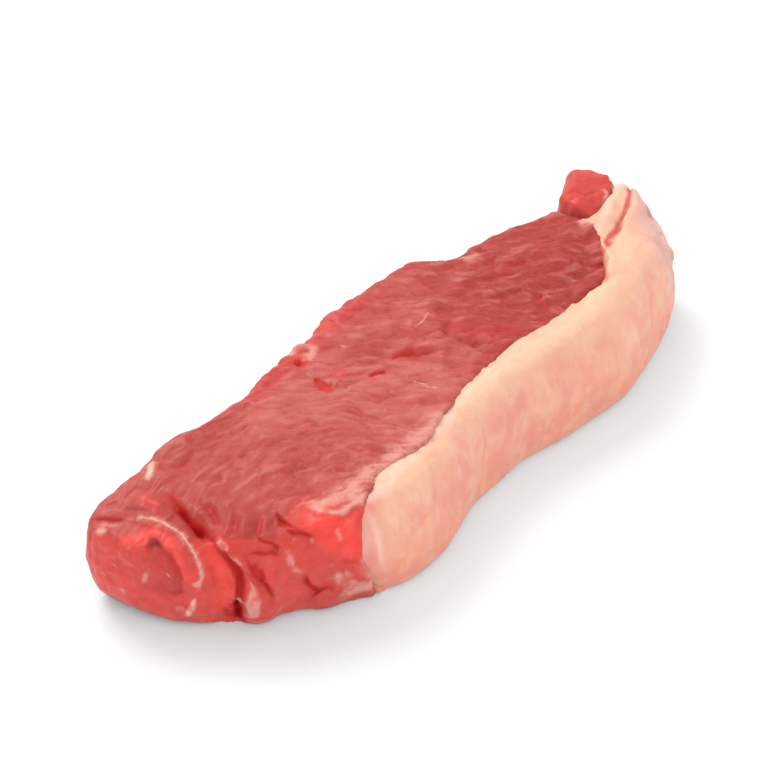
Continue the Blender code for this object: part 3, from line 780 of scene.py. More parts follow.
    "muscleCrease": [(82.8, 7.1, 31.2), (84.2, 5.4, 31.4), (85.4, 3.1, 31.1), (88.3, 1.7, 30.8)],
    "muscleEdgePale": [(89, 0.5, 30.3), (88.5, -0.7, 29.6), (86.7, -1.2, 29.1)],
    "blobPale": [(74.2, -1.3, 28.9), (75.8, -2.4, 28.6), (75.3, -4.6, 30)],
    "creaseDark": [(76.8, 1.4, 29.2), (76.3, -1.4, 29.7), (76.6, -3.7, 30.2), (75.1, -6.5, 30.2)],
    "wedgePale": [(77.4, 7, 28.8), (77.2, 5.4, 29.2)],
    "fatGroove": [(95.2, -4.8, 27.2), (94.9, -4.6, 27.4), (93.7, -5.2, 27.5), (89, -7.2, 27.5),
        (84.4, -9.2, 27.7), (78.4, -10.8, 28.4), (73.3, -11.7, 28.8)],
    "fatGrooveLow": [(84.4, -9.2, 27.7), (78.3, -10.7, 28.4), (73.3, -11.7, 28.8), (69.7, -12.9, 29.5)],
    "edgeBitA": [(89.9, -11.4, 28), (88.7, -13.8, 27.5)],
    "edgeBitB": [(86, -17.9, 26), (86.2, -18.7, 24.9)],
    "edgeBitC": [(91.4, -18.7, 18.7), (88.9, -21, 17.8), (87.3, -22.3, 17.2)],
    "membrane": [(90.4, -11.8, 27.7), (84.8, -18, 26.7), (82.6, -21.5, 24.1), (82.4, -24.1, 19.5),
        (81.8, -25.6, 14.4)],
    "membraneRose": [(85.5, -21.5, 21.9), (87, -22.4, 17.5), (85.1, -24, 14.9), (82.5, -25.7, 11.8)],
    "wrinkA": [(0.4, -22.7, 26.6), (2, -25.1, 20.8), (2, -26.1, 15.7), (-1.6, -26.5, 11.2)],
    "wrinkB": [(7.3, -25.3, 20.1), (4.8, -26.1, 15.5), (1.2, -26.4, 11.3)],
    "wrinkC": [(-8.8, -23.2, 25.7), (-8.4, -25.4, 18.7), (-10.7, -26.1, 12.7)],
    "wrinkD": [(17, -26.4, 22.8), (17.6, -28.3, 17.1), (16, -28.3, 11.2)],
    "wrinkE": [(29, -27.7, 25), (29.2, -30.2, 19), (27.1, -30.8, 13)],
    "wrinkF": [(42.3, -28.3, 27.4), (43, -32, 20.1), (40.4, -32.7, 14.1)],
    "wrinkG": [(66.1, -24.3, 28), (64, -28.8, 22.4), (61.9, -31.1, 15.1)],
    "wrinkH": [(55.2, -27.2, 28.3), (54.5, -30.6, 23.2), (50.9, -32.7, 18)],
    "wrinkI": [(-33.3, -25.4, 27.4), (-35.2, -28.8, 22.5), (-39, -30, 17.9)],
    "wrinkJ": [(-43.7, -26.1, 26.7), (-44.5, -28.7, 20.9), (-47.5, -29.4, 13)],
    "blushA": [(-0.6, -26, 17.2), (-3.3, -26.4, 10.4), (-8.1, -26.1, 6.4)],
    "blushB": [(-31.3, -28.8, 22.1), (-31.6, -30.3, 16.9), (-34.7, -30.9, 11.5)],
    "blushC": [(-39.9, -30.1, 3.8), (-45.4, -29.4, 3.4), (-51, -27.4, 3.7)],
    "blushD": [(22.5, -22.7, 28.3), (22.6, -27.3, 23.9), (24.3, -29.3, 19.1)],
    "blushE": [(-12.3, -23.1, 26.2), (-10, -24.7, 22.4)],
    "fatPit": [(4.5, -23.7, 24.5), (4.6, -24.2, 23.5)],
    "speckA": [(-31.5, -30.1, 17.4), (-31.1, -30.2, 16.8)],
    "farSeam": [
        (75.6, -1.3, 28.9), (73.9, -5.2, 27.5), (71.3, -8.3, 26), (68, -11, 25.1), (62.9, -14.8, 24.9),
        (58, -16.3, 25.1), (52.5, -16, 25.2), (47.4, -15.3, 25.3),
    ],
    "flangeLeft": [(94.3, -1.9, 28.4), (89.5, -3.6, 28.4), (82.4, -5.7, 29.1), (75.9, -8.1, 29.7)],
    "flangeRight": [(92.4, -5.9, 27.3), (90.1, -8.5, 27.6), (84.7, -11.2, 28), (77.2, -13.2, 28.4)],
    "rimGlow": [(-94.5, 12.2, 25.1), (-93.7, 9, 24.9), (-93.6, 5.9, 22.3), (-92.9, 4.3, 18.4)],
    "strapSlope": [(-85.9, 7, 24.9), (-87.3, 3.1, 24.5), (-87, 1, 22)],
    "frontFace": [(-82.3, -11.2, 21.7), (-79.3, -12.7, 17.4), (-74.6, -13.5, 10.7)],
    "upperFront": [(-72.8, -15.3, 22.4), (-71, -17.4, 18.6), (-69.4, -19.1, 13.7)],
    "seamFatLow": [(-83.4, -9.4, 13.2), (-82.6, -9.6, 9.1), (-82.2, -8.6, 4.7)],
    "darkSide": [(-83.7, -1.3, 6.3), (-83, -1.8, 3.6), (-82.3, -1.8, 1)],
    "shoulder": [(-79, 7.7, 27.5), (-82.1, -1.3, 27.6), (-78.9, -6.8, 27.9)],
    "tongue": [(77.2, 5.3, 28.8), (76.9, 2.1, 29.8), (76.3, -1.4, 30.1), (75.2, -4.9, 30.2)],
    "muscleTopLeft": [(88.6, 11, 31.1), (92.8, 11.8, 30.4)],
    "muscleTopRight": [(94.7, 5.1, 31.2), (93.9, 2.7, 30.7)],
    "fatCornerFilm": [(-53.7, -20.9, 27.8), (-52.3, -21.7, 28.8), (-50.1, -22.5, 28.6)],
    "stripeA": [(-55.6, -24.5, 23.7), (-55.4, -25.5, 18.6), (-54.8, -26.2, 13.1)],
    "stripeB": [(-56.8, -23.4, 25.5), (-57.1, -24.1, 18.5), (-57.6, -23.8, 12)],
    "scoop": [(16.3, 0.3, 28.9), (16.1, -4.4, 28.7), (18.3, -9, 28.3), (22.6, -10.7, 28)],
    "scoopFar": [(21.2, -1, 28.7), (27.6, -6, 28), (38.5, -8.1, 27.2)],
    "backRim": [(-42.9, 25.6, 28.4), (-32.4, 25.1, 28.7), (-20.7, 26.6, 28.5), (-15.1, 25.9, 28.5),
        (-5.1, 26.9, 28.5), (5.7, 26.7, 28.6), (15.3, 25.1, 28.7)],
    "cornerLow": [(-62.1, -21.4, 4.7), (-59.7, -22.1, 5.9), (-57.5, -22, 7.4), (-58.1, -23.3, 12.1)],
    "tearSpot": [(-22.1, 16.8, 28.2), (-22.7, 15, 28.3)],
    "tearKnob": [(-20.7, 9.8, 28.6), (-20.6, 8, 28.7), (-18.7, 7.5, 28.7)],
    "tearRim": [(-22.1, 8.8, 28.6), (-21.8, 7.2, 28.7), (-19.7, 6.6, 28.7)],
    "tearLobe": [(-10.1, 12.4, 28.6), (-8.2, 11.9, 28.6), (-7.6, 9.9, 28.4)],
    "tearMark": [(-6.5, 19.8, 28.8), (-7, 17.2, 28.9), (-6.7, 16, 28.9)],
    "edgeBitD": [(95, -5.6, 26.8), (94.5, -7.2, 26.7)],
    "tearEdge": [(-23.2, 14.6, 28.3), (-24, 12.6, 28.4), (-24.4, 10.5, 28.4)],
    "seamCorner": [(-56.6, -21.5, 28.1), (-58.3, -22.3, 23), (-58.8, -22.7, 17.5), (-58.7, -22.6, 11.3),
        (-57.3, -21.9, 5.4), (-55.7, -21.3, 1.6)],
    "seamFoot": [(-58.5, -22.4, 8.9), (-56.6, -21.7, 4.2), (-55.1, -21.2, 1.1)],
    "seamTop": [(-55, -21.2, 27.6), (-49.6, -19.2, 28.1), (-45.8, -19.5, 28.8), (-41.5, -19.5, 28.8),
        (-36.2, -20.2, 28.8), (-30.7, -21.1, 28.8), (-23.7, -19.9, 28.8), (-16.4, -18.2, 28.8),
        (-9.1, -16.9, 28.3)],
    "backRimAll": [(-68.7, 27.4, 28.9), (-60.8, 27.3, 28.6), (-53.7, 26.6, 28.2), (-45.7, 26.6, 27.8),
        (-40, 24.7, 28.6), (-30.9, 25.2, 28.7), (-20.7, 26.6, 28.5)],
    "innerWall": [(70.8, -9.9, 27.5), (67.5, -12.5, 26.8), (64.6, -14.8, 25.3), (53.6, -21, 30.3),
        (50.4, -21.9, 30.2)],
    "notchWedge": [(-70.6, -6.2, 28), (-72.8, -8.2, 26.9), (-74, -10.7, 27.1), (-73, -13.2, 27.1),
        (-71.7, -14.8, 26.1), (-71.4, -14.4, 27), (-71.1, -11, 27.7), (-70.8, -8.5, 27.8)],
    "notchLowerWedge": [(-80.2, -8.1, 27.7), (-81.2, -9.5, 27.2), (-80.1, -11.1, 25.9), (-77.9, -12.1, 25),
        (-77.9, -11.6, 26), (-79.5, -10.3, 27.2)],
    "frontWedge": [(-85.1, -6, 23.9), (-84.2, -8.3, 22.8), (-83, -10.2, 21.7), (-81.4, -11.8, 19.7),
        (-81.5, -11.6, 16.2), (-82.8, -10.5, 16), (-84, -9.2, 19.4), (-84.7, -7.5, 22.2)],
    "frontLowWedge": [(-82.3, -11.1, 16), (-80, -12.2, 13.1), (-77.5, -12.3, 9), (-77.7, -11.5, 5.1),
        (-80.3, -10.8, 5.6), (-81.2, -11.2, 10.4)],
    "knotLump": [(-85.3, 0.2, 24.5), (-84.4, 0.2, 26), (-84.2, -1.4, 26.9), (-84.4, -3.6, 26.5),
        (-84.9, -4.5, 25), (-85.3, -3.3, 23.7), (-85.6, -1.5, 23.5)],
    "seamFatArea": [(-84.7, -7.9, 19.3), (-83.9, -9.2, 18), (-82.8, -10.4, 15.7), (-82, -11, 12),
        (-81.3, -10.7, 7.8), (-80.9, -9.7, 3.7), (-81.8, -4.4, 1.8), (-83.9, -5.5, 7.1), (-84.3, -7.1, 10.9),
        (-84.2, -8.3, 14.7)],
    "silverFlare": [(-92.3, 3.4, 16.2), (-91.3, 2.4, 14.4), (-89.5, 0.9, 13.9), (-88.9, 0.6, 18.9),
        (-89.8, 1.1, 19.9), (-90.7, 1.2, 17.5)],
    "tearWedge": [(-21.7, 17.3, 28.3), (-24.3, 14, 28.3), (-25.6, 10.3, 28.4), (-25, 8.4, 28.5),
        (-20.7, 11.5, 28.5), (-21.1, 13.1, 28.4), (-20.7, 15.8, 28.3)],
    "tearFacet": [(-19.6, 16.3, 28.3), (-16.3, 17.2, 28.5), (-13.8, 15.5, 28.6), (-13.5, 12.1, 28.6),
        (-15.6, 9.1, 28.6), (-18.8, 9.3, 28.6), (-20.4, 11.8, 28.5), (-20.8, 14.2, 28.4)],
    "tearLowWedge": [(-15.1, 6.5, 28.6), (-14.7, 4.8, 28.5), (-11.2, 3.5, 28.3), (-8.8, 3.4, 28.2),
        (-9.1, 4.9, 28.3), (-12.2, 6.1, 28.4)],
    "tearMidWedge": [(-12.2, 11.3, 28.6), (-11.2, 9.1, 28.5), (-8.7, 7.6, 28.4), (-7.3, 7.9, 28.4),
        (-10, 10, 28.5)],
    "stepWedge": [(-5.9, 5.9, 28.3), (-4.6, 4, 28.3), (-2.5, 3.5, 28.4), (-0.4, 2, 28.5), (2, -1.2, 28.5),
        (4, -4.6, 28.5), (5, -3.9, 28.5), (3.5, -0.2, 28.7), (2.4, 4, 28.6), (0.8, 5.8, 28.5),
        (-1.8, 6.3, 28.3)],
    "stepDark": [
        (-4.6, 4.5, 28.3), (-2.2, 5, 28.4), (-0.6, 4.3, 28.4), (-0.2, 3.3, 28.5), (-2.3, 3.2, 28.4),
    ],
    "stepFilm": [
        (-6.3, 5.3, 28.3), (-4.1, 3.2, 28.3), (-1.4, 1.4, 28.4), (1, -1.2, 28.5), (3.3, -5.1, 28.4),
        (1.5, -8.6, 28.4), (-4.4, -9, 28.5), (-7.4, -3.6, 28), (-8.2, 1.6, 28.2),
    ],
    "hollowSide": [(-93.2, 10.2, 25.2), (-93.9, 7.7, 24.3), (-94, 6.5, 22.3), (-93.4, 5.4, 19.1),
        (-92.7, 4.6, 16)],
    "flangeValley": [(95.1, -5.1, 27.1), (95.1, -5.3, 26.9), (89.5, -7.4, 27.5), (85.1, -9.1, 27.6)],
    "muscleLow": [(79.4, 6.1, 29.2), (77.9, 2.1, 30.2), (79.1, -0.9, 30)],
}


# the lean

leanShape = {
    "voxel": 1.04,
    "pillow": (10.0, 3.6, 12.0),  # length, width and depth of the soft bundles
    "pillowHeight": 0.4,
    "wrinkle": (6.0, 2.0, 8.0),
    "wrinkleHeight": 0.2,
    "lumpHeight": 0.5,
    "hollowDepth": 2.7,
    "nearFacing": (-0.8, -0.6, 0.1),  # the way the near end faces
    "nearEnd": (-60.0, -72.0),  # where along the steak it begins, and where it is reached
    "fineAbove": 16,  # faces above this height are split, and so is the near end, twice beyond finestEnd
    "fineEnd": -52,
    "finestEnd": (-60, -76),
    "bundleDrift": 1.7,
    "steadyTo": (-62.0, -48.0),  # cleaner lines at the near end, up to here
    "calmReach": 11.0,
    "rimLumps": 0.8,
    "sheenBand": (-22, 26.0, 6.0),  # the middle of the duller, paler band of painted sheen across the steak, and its half widths
    "farFrom": (8.0, 34.0),  # where the darker red of the far part, partly painted shade of its hollow, begins, and where it is reached
    "knobHeight": 0.5,
    # where along the steak the fibres turn, and their angle to its length there
    "fibreTurns": ([-100, -60, -40, -25, 0, 20, 40, 75, 100], [4, -4, -25, -48, -54, -48, -36, -28, -25]),
    "fineStrokes": [
        ("silverskin", 0.7, 0.7, outward, 2.0, 0.2), ("veinLong", 0.5, 0.2), ("veinFar", 0.5, 0.2),
        ("filmCorner", 0.8, 0.3, outward),
    ],
    "strokes": [
        # the strap muscle's cut end: a rim of silverskin over a hollow
        ("rimOuter", 1.0, 0.5, inward), ("rimCrest", 1.5, 0.7, outward), ("silverFoot", 1.2, 0.6, outward),
        ("bandDark", 1.1, 0.9, inward), ("bandPale", 0.9, 0.4, outward), ("paleDab", 1.3, 0.5, outward),
        ("lumpLeft", 1.3, 0.8, outward), ("hookLump", 1.2, 0.9, outward), ("strapFat", 0.9, 0.6, outward),
        ("fleckLong", 0.7, 0.45, outward), ("fleckRight", 0.9, 0.45, outward),
        ("fleckMid", 0.9, 0.4, outward), ("fleckLeft", 0.7, 0.4, outward), ("fleckLow", 0.9, 0.4, outward),
        ("fleckEdge", 0.8, 0.4, outward), ("fleckBottom", 0.8, 0.5, outward),
        ("strapSide", 3.5, 0.8, outward), ("strapCrease", 1.0, 0.5, inward),
        ("streakTop", 1.1, 0.35, outward), ("creaseTop", 0.9, 0.5, inward), ("ridgeTop", 1.1, 0.4, outward),
        ("creaseMid", 0.9, 0.45, inward), ("ridgeMid", 1.0, 0.35, outward),
        # the cleft between the strap muscle and the block, with sinew and a seam of fat in it
        ("cleft", 0.8, 1.9, (0.35, 0.25, -0.9), 2.0, 0.3), ("cleftWide", 1.1, 0.5, (0.35, 0.25, -0.9)),
        ("cleftLow", 1.1, 2.0, (0.8, 0.6, 0.0), 1.7, 0.2), ("strapSlope", 3.0, 0.9, outward),
        ("rimGlow", 2.4, 0.7, outward), ("frontFace", 4.5, 1.2, outward), ("upperFront", 3.5, 0.9, outward),
        ("sinewKnot", 1.0, 1.0, outward), ("sinewBand", 0.9, 0.8, outward),
        ("seamFat", 1.5, 1.5, outward, 2.5, 0.15), ("seamFatLow", 2.0, 0.9, outward),
        ("seamFatHorn", 0.8, 0.8, outward), ("darkGap", 0.9, 2.6, (0.8, 0.6, 0.0), 1.7, 0.2),
        ("seamCorner", 1.8, 1.1, (-0.3, -0.95, 0.0), 2.0, 0),
        ("seamFoot", 3.0, 2.3, (0.15, -1.0, -0.3), 2.0, 0),
        ("seamTop", 2.2, 2.1, (-0.1, -0.72, 0.68), 2.0, 0.1),
        # folds that run from the cleft into the block
        ("shoulderRidgeA", 1.7, 1.0), ("shoulderRidgeB", 1.6, 0.9), ("shoulderRidgeC", 1.5, 0.8),
        ("shoulderRidgeD", 1.3, 0.5), ("foldA", 1.1, -1.2), ("foldB", 1.2, -1.0), ("foldC", 1.0, -1.1),
        # the block's slope
        ("foldFrontDeep", 1.5, 0.9, inward), ("paleStreak", 1.1, 0.6, outward),
        ("streakCrease", 0.9, 0.8, inward), ("flapUpper", 1.2, 0.5, outward),
        ("flapLower", 1.2, 0.5, outward), ("notchSmall", 0.5, -0.5, None, 1.6),
        ("smallPaleA", 0.9, 0.4, outward), ("smallPaleB", 0.9, 0.4, outward),
        ("smallPaleC", 0.9, 0.4, outward), ("wetHollow", 2.4, 0.7, inward), ("wetDark", 1.3, 0.6, inward),
        ("pinkBit", 1.1, 0.7, outward), ("pinkBitB", 1.0, 0.6, outward),
        # the film of fat over the corner and along the seam
        ("filmCorner", 1.0, 0.5, outward), ("filmLobe", 1.4, 0.5), ("filmSeam", 2.0, 0.4),
        # tears, steps and long soft ridges of the cut face
        ("tearEdge", 0.6, -0.4), ("tearKnob", 1.2, 0.7), ("tearLobe", 1.3, 0.6), ("stepTop", 1.7, 0.7),
        ("ridge1", 1.5, 0.52), ("ridge2", 1.6, 0.52), ("ridge3", 1.8, 0.6), ("ridge4", 1.8, 0.6),
        ("ridge5", 1.7, 0.52), ("ridge6", 1.8, 0.6), ("ridge7", 1.8, 0.52), ("ridge8", 1.7, 0.52),
        ("ridge9", 1.5, 0.45), ("ridge10", 1.9, 0.55), ("ridge11", 1.9, 0.65), ("ridge12", 1.9, 0.65),
        ("ridge13", 1.8, 0.6), ("ridge14", 1.8, 0.6), ("valley1", 1.0, -0.56), ("valley2", 1.1, -0.56),
        ("valley3", 1.1, -0.63), ("valley4", 1.1, -0.63), ("valley5", 1.1, -0.56), ("valley6", 1.1, -0.63),
        ("valley7", 1.1, -0.56), ("valley8", 1.1, -0.56), ("valley9", 1.0, -0.49), ("valley10", 1.0, -0.56),
        ("valley11", 1.0, -0.56), ("valley12", 1.0, -0.63), ("valley13", 0.9, -0.56),
        ("valley14", 0.9, -0.56), ("valley15", 0.9, -0.49),
        # the back edge and the far end
        ("backFatLump", 1.5, 1.0), ("backTear", 1.0, -1.1), ("backLumpA", 1.8, 0.6),
        ("backDarkA", 0.9, -0.7), ("backLumpB", 1.8, 0.5), ("backPaleLine", 0.9, 0.3),
        ("nearFatStrip", 1.0, 0.7), ("nearFatWide", 1.2, 0.5), ("flake", 1.0, 0.5),
        ("backNotch", 0.9, -1.4, None, 1.6), ("farSeam", 2.2, 1.7, (0.15, -0.5, 0.85), 2.0, 0.12),
        ("rimShade", 1.3, -0.9), ("rimDeep", 1.1, -0.9), ("farPit", 0.9, -0.9), ("blobPale", 1.3, 0.7),
        ("creaseDark", 0.9, -0.6),
    ],
    # loops with the mask they are painted in, their softness, the paint's strength and how far they sink
    "areas": [
        # the notch, fold, tear and step wedges painted a darker red are painted shade
        ("notchWedge", "deep", 1.2, 0.85, 1.3), ("notchLowerWedge", "deep", 0.9, 0.8, 0.9),
        ("frontWedge", "deep", 1.5, 0.7, 1.2), ("frontLowWedge", "deep", 1.6, 0.35, 0.5),
        ("knotLump", "film", 1.0, 0.75, -0.7), ("seamFatArea", "film", 1.6, 0.7, -0.5),
        ("silverFlare", "film", 0.8, 0.8, -0.3), ("tearWedge", "deep", 1.5, 0.6, 0.9),
        ("tearFacet", "wet", 2.2, 0.26, -0.6), ("tearLowWedge", "deep", 0.7, 0.65, 0.5),
        ("tearMidWedge", "deep", 0.6, 0.5, 0.3), ("stepWedge", "deep", 0.8, 0.42, 0.6),
        ("stepDark", "deep", 0.7, 0.85, 0.4), ("stepFilm", "film", 2.0, 0.3, -0.3),
    ],
    "ledges": [
        ("cleft", 3.0, 1.1, outward), ("foldA", 1.8, 0.5), ("foldB", 1.8, 0.5), ("foldC", 1.6, 0.45),
        ("foldFront", 2.6, 1.5, outward), ("frontTop", 2.4, -1.1, outward),
        ("notchUpperRun", 2.0, 0.9, outward), ("notchLowerRun", 1.8, 0.9, outward),
        ("streakCrease", 2.2, 1.0, outward), ("foldLow", 2.2, -1.0, outward),
        ("bandDark", 2.0, 0.7, outward), ("creaseMid", 1.8, 0.5, outward), ("creaseTop", 1.8, 0.4, outward),
        ("paleStreak", 2.0, 0.9, outward), ("tearEdge", 1.8, 0.5), ("tearLow", 2.0, 0.7),
        ("scoopEdge", 3.6, -1.5), ("stepFace", 2.2, 1.0), ("tearMid", 1.6, 0.4), ("ridge1", 1.6, 0.25),
        ("ridge2", 1.6, 0.25), ("ridge9", 1.6, 0.25), ("backTear", 2.0, 0.5), ("backRed", 2.2, 0.3),
        ("rimShade", 2.4, 0.3),
    ],
}

leanPaint = {
    # painted shade, with the deeper red of fresh cut flesh: the cleft, folds, notches, tears, pits and
    # valleys are painted a darker red
    "deep": [
        ("cleft", 1.1, 1.0, 3.0, 0.3), ("cleftWide", 1.6, 1.0, 3.0, 0.35), ("cleftLow", 1.2, 0.8, 2.0, 0.3),
        ("darkGap", 2.2, 1.0, 2.0, 0.1), ("darkSide", 1.6, 0.6), ("foldA", 1.3, 0.36), ("foldB", 1.2, 0.28),
        ("foldC", 1.0, 0.36), ("foldFront", 0.9, 0.7), ("foldLow", 0.8, 0.5),
        ("foldFrontDeep", 1.2, 0.6, 2.0, 0.2), ("notchUpperRun", 0.7, 0.75), ("notchLowerRun", 0.6, 0.6),
        ("notchSmall", 0.5, 0.6), ("frontTop", 0.6, 0.6), ("streakCrease", 0.9, 0.8),
        ("rimOuter", 0.6, 0.35), ("bandDark", 0.9, 0.45), ("hollowSide", 1.2, 0.4),
        ("strapCrease", 0.8, 0.3), ("tearSpot", 0.7, 0.9, 2.0, 0), ("tearEdge", 0.6, 0.6),
        ("scoop", 4.5, 0.25, 3.0, 0), ("scoopDark", 1.0, 0.7), ("rimDeep", 1.0, 0.4), ("farPit", 0.9, 0.5),
        ("backTear", 1.3, 0.9), ("backDarkA", 0.9, 0.5), ("creaseDark", 0.8, 0.5), ("wetDark", 1.2, 0.3),
        ("valley3", 0.9, 0.25), ("valley4", 0.9, 0.3), ("valley6", 0.9, 0.3), ("valley11", 0.8, 0.25),
        ("valley12", 0.8, 0.3),
    ],
    # bright wet red; on the rim crest of the strap end it is painted light
    "wet": [
        ("strapSide", 5.0, 0.9, 2.0, 0), ("rimCrest", 2.2, 0.75, 2.0, 0), ("stepFace", 1.4, 0.3),
        ("tearLow", 1.4, 0.25), ("backRim", 3.0, 0.28, 2.0, 0.1), ("backRed", 2.6, 0.3, 2.0, 0),
        ("backLumpA", 2.2, 0.45, 2.0, 0), ("backLumpB", 2.0, 0.3, 2.0, 0), ("backTear", 2.0, 0.5),
        ("wetHollow", 6.0, 1.0, 2.0, 0), ("streakTop", 1.6, 0.4), ("darkGap", 3.0, 0.9),
        ("cleftLow", 2.6, 0.6),
    ],
    "film": [
        ("filmCorner", 1.0, 0.9, 2.0, 0), ("filmLobe", 2.2, 0.85, 2.0, 0), ("filmSeam", 3.6, 0.72, 2.0, 0),
        ("paleStreak", 1.2, 0.7), ("cornerLow", 2.4, 0.9, 2.0, 0), ("seamTop", 1.5, 0.6, 2.0, 0.2),
        ("strapFat", 0.9, 0.9, 2.0, 0.2), ("blobPale", 1.5, 0.9, 2.0, 0), ("paleDab", 1.2, 0.7, 2.0, 0.4),
        ("tearRim", 0.8, 0.5), ("tearMark", 0.6, 0.6), ("sinewBand", 1.2, 0.6, 2.0, 0.1),
        ("silverskin", 1.2, 0.65, 2.0, 0.1), ("backFatLump", 1.6, 0.9, 2.0, 0),
        ("backFatCurl", 1.0, 0.8, 2.0, 0), ("seamFatHorn", 0.9, 0.8), ("bandPale", 0.9, 0.5),
        ("ridgeTop", 0.9, 0.3), ("ridgeMid", 0.8, 0.3), ("streakTop", 0.8, 0.35), ("rimCrest", 0.9, 0.25),
        ("lumpLeft", 0.9, 0.35), ("fleckLong", 0.7, 0.7), ("fleckRight", 0.9, 0.6), ("fleckMid", 0.8, 0.45),
        ("fleckLeft", 0.6, 0.5), ("fleckLow", 0.8, 0.5), ("fleckEdge", 0.7, 0.35),
        ("fleckBottom", 0.8, 0.5), ("smallPaleA", 0.7, 0.45), ("smallPaleB", 0.7, 0.45),
        ("smallPaleC", 0.8, 0.45), ("pinkBit", 1.3, 0.8), ("pinkBitB", 1.1, 0.7),
        # the two shine marks are painted highlights: pale glints on the wet corner
        ("wetShine", 0.9, 0.6, 2.0, 0), ("wetShineB", 0.9, 0.35), ("flakePale", 2.0, 0.6),
        ("shoulderRidgeA", 0.9, 0.16), ("shoulderRidgeB", 0.9, 0.14), ("backPaleLine", 0.6, 0.5),
        ("stepTop", 0.9, 0.25), ("muscleEdgePale", 1.2, 0.8), ("nearFatWide", 1.2, 0.7),
        ("nearFatStrip", 1.6, 0.7), ("farFleckA", 0.7, 0.5), ("farFleckB", 0.6, 0.4), ("flake", 0.9, 0.4),
    ],
    "pale": [
        ("sinewKnot", 0.8, 0.4, 2.0, 0.3), ("paleDab", 0.6, 0.45, 2.0, 0.4),
        ("strapFat", 0.6, 0.7, 2.0, 0.3), ("hookLump", 0.6, 0.35), ("nearFatStrip", 1.0, 0.8, 2.0, 0.3),
        ("nearFatDab", 0.8, 0.5), ("backFatLump", 0.8, 0.5, 2.0, 0), ("blobPale", 0.9, 0.35, 2.0, 0),
        ("wedgePale", 1.2, 0.8, 2.0, 0),
    ],
    "line": [
        ("silverskin", 0.6, 0.44, 2.0, 0.15), ("veinLong", 0.42, 0.55), ("veinBright", 0.5, 0.6, 2.0, 0.4),
        ("veinFar", 0.42, 0.55), ("veinBack", 0.4, 0.4), ("veinNearFat", 0.35, 0.35),
        ("veinNear", 0.35, 0.4), ("dotA", 0.4, 0.5, 2.0, 0), ("dotB", 0.4, 0.5, 2.0, 0),
        ("dotC", 0.4, 0.3, 2.0, 0),
    ],
}


def fibrePlaces(points, turns):
    # along the fibres, across them and up
    stations = np.arange(-110.0, 111.0, 1.0)
    angles = np.radians(np.interp(stations, *turns))
    slide = np.concatenate([[0.0], np.cumsum(np.tan((angles[1:] + angles[:-1]) / 2))])
    slide -= np.interp(0.0, stations, slide)
    angle = np.radians(np.interp(points[:, 0], *turns))
    across = (points[:, 1] - np.interp(points[:, 0], stations, slide)) * np.cos(angle)
    along = points[:, 0] * np.cos(angle) + points[:, 1] * np.sin(angle)
    return np.stack([along, across, points[:, 2]], axis=1)


def finishPiece(piece, material, slotName, *nodes):
    selectOnly(piece)
    piece.data.materials.append(material)
    bpy.ops.object.shade_smooth()
    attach(piece, "root")
    if nodes:
        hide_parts(*nodes)


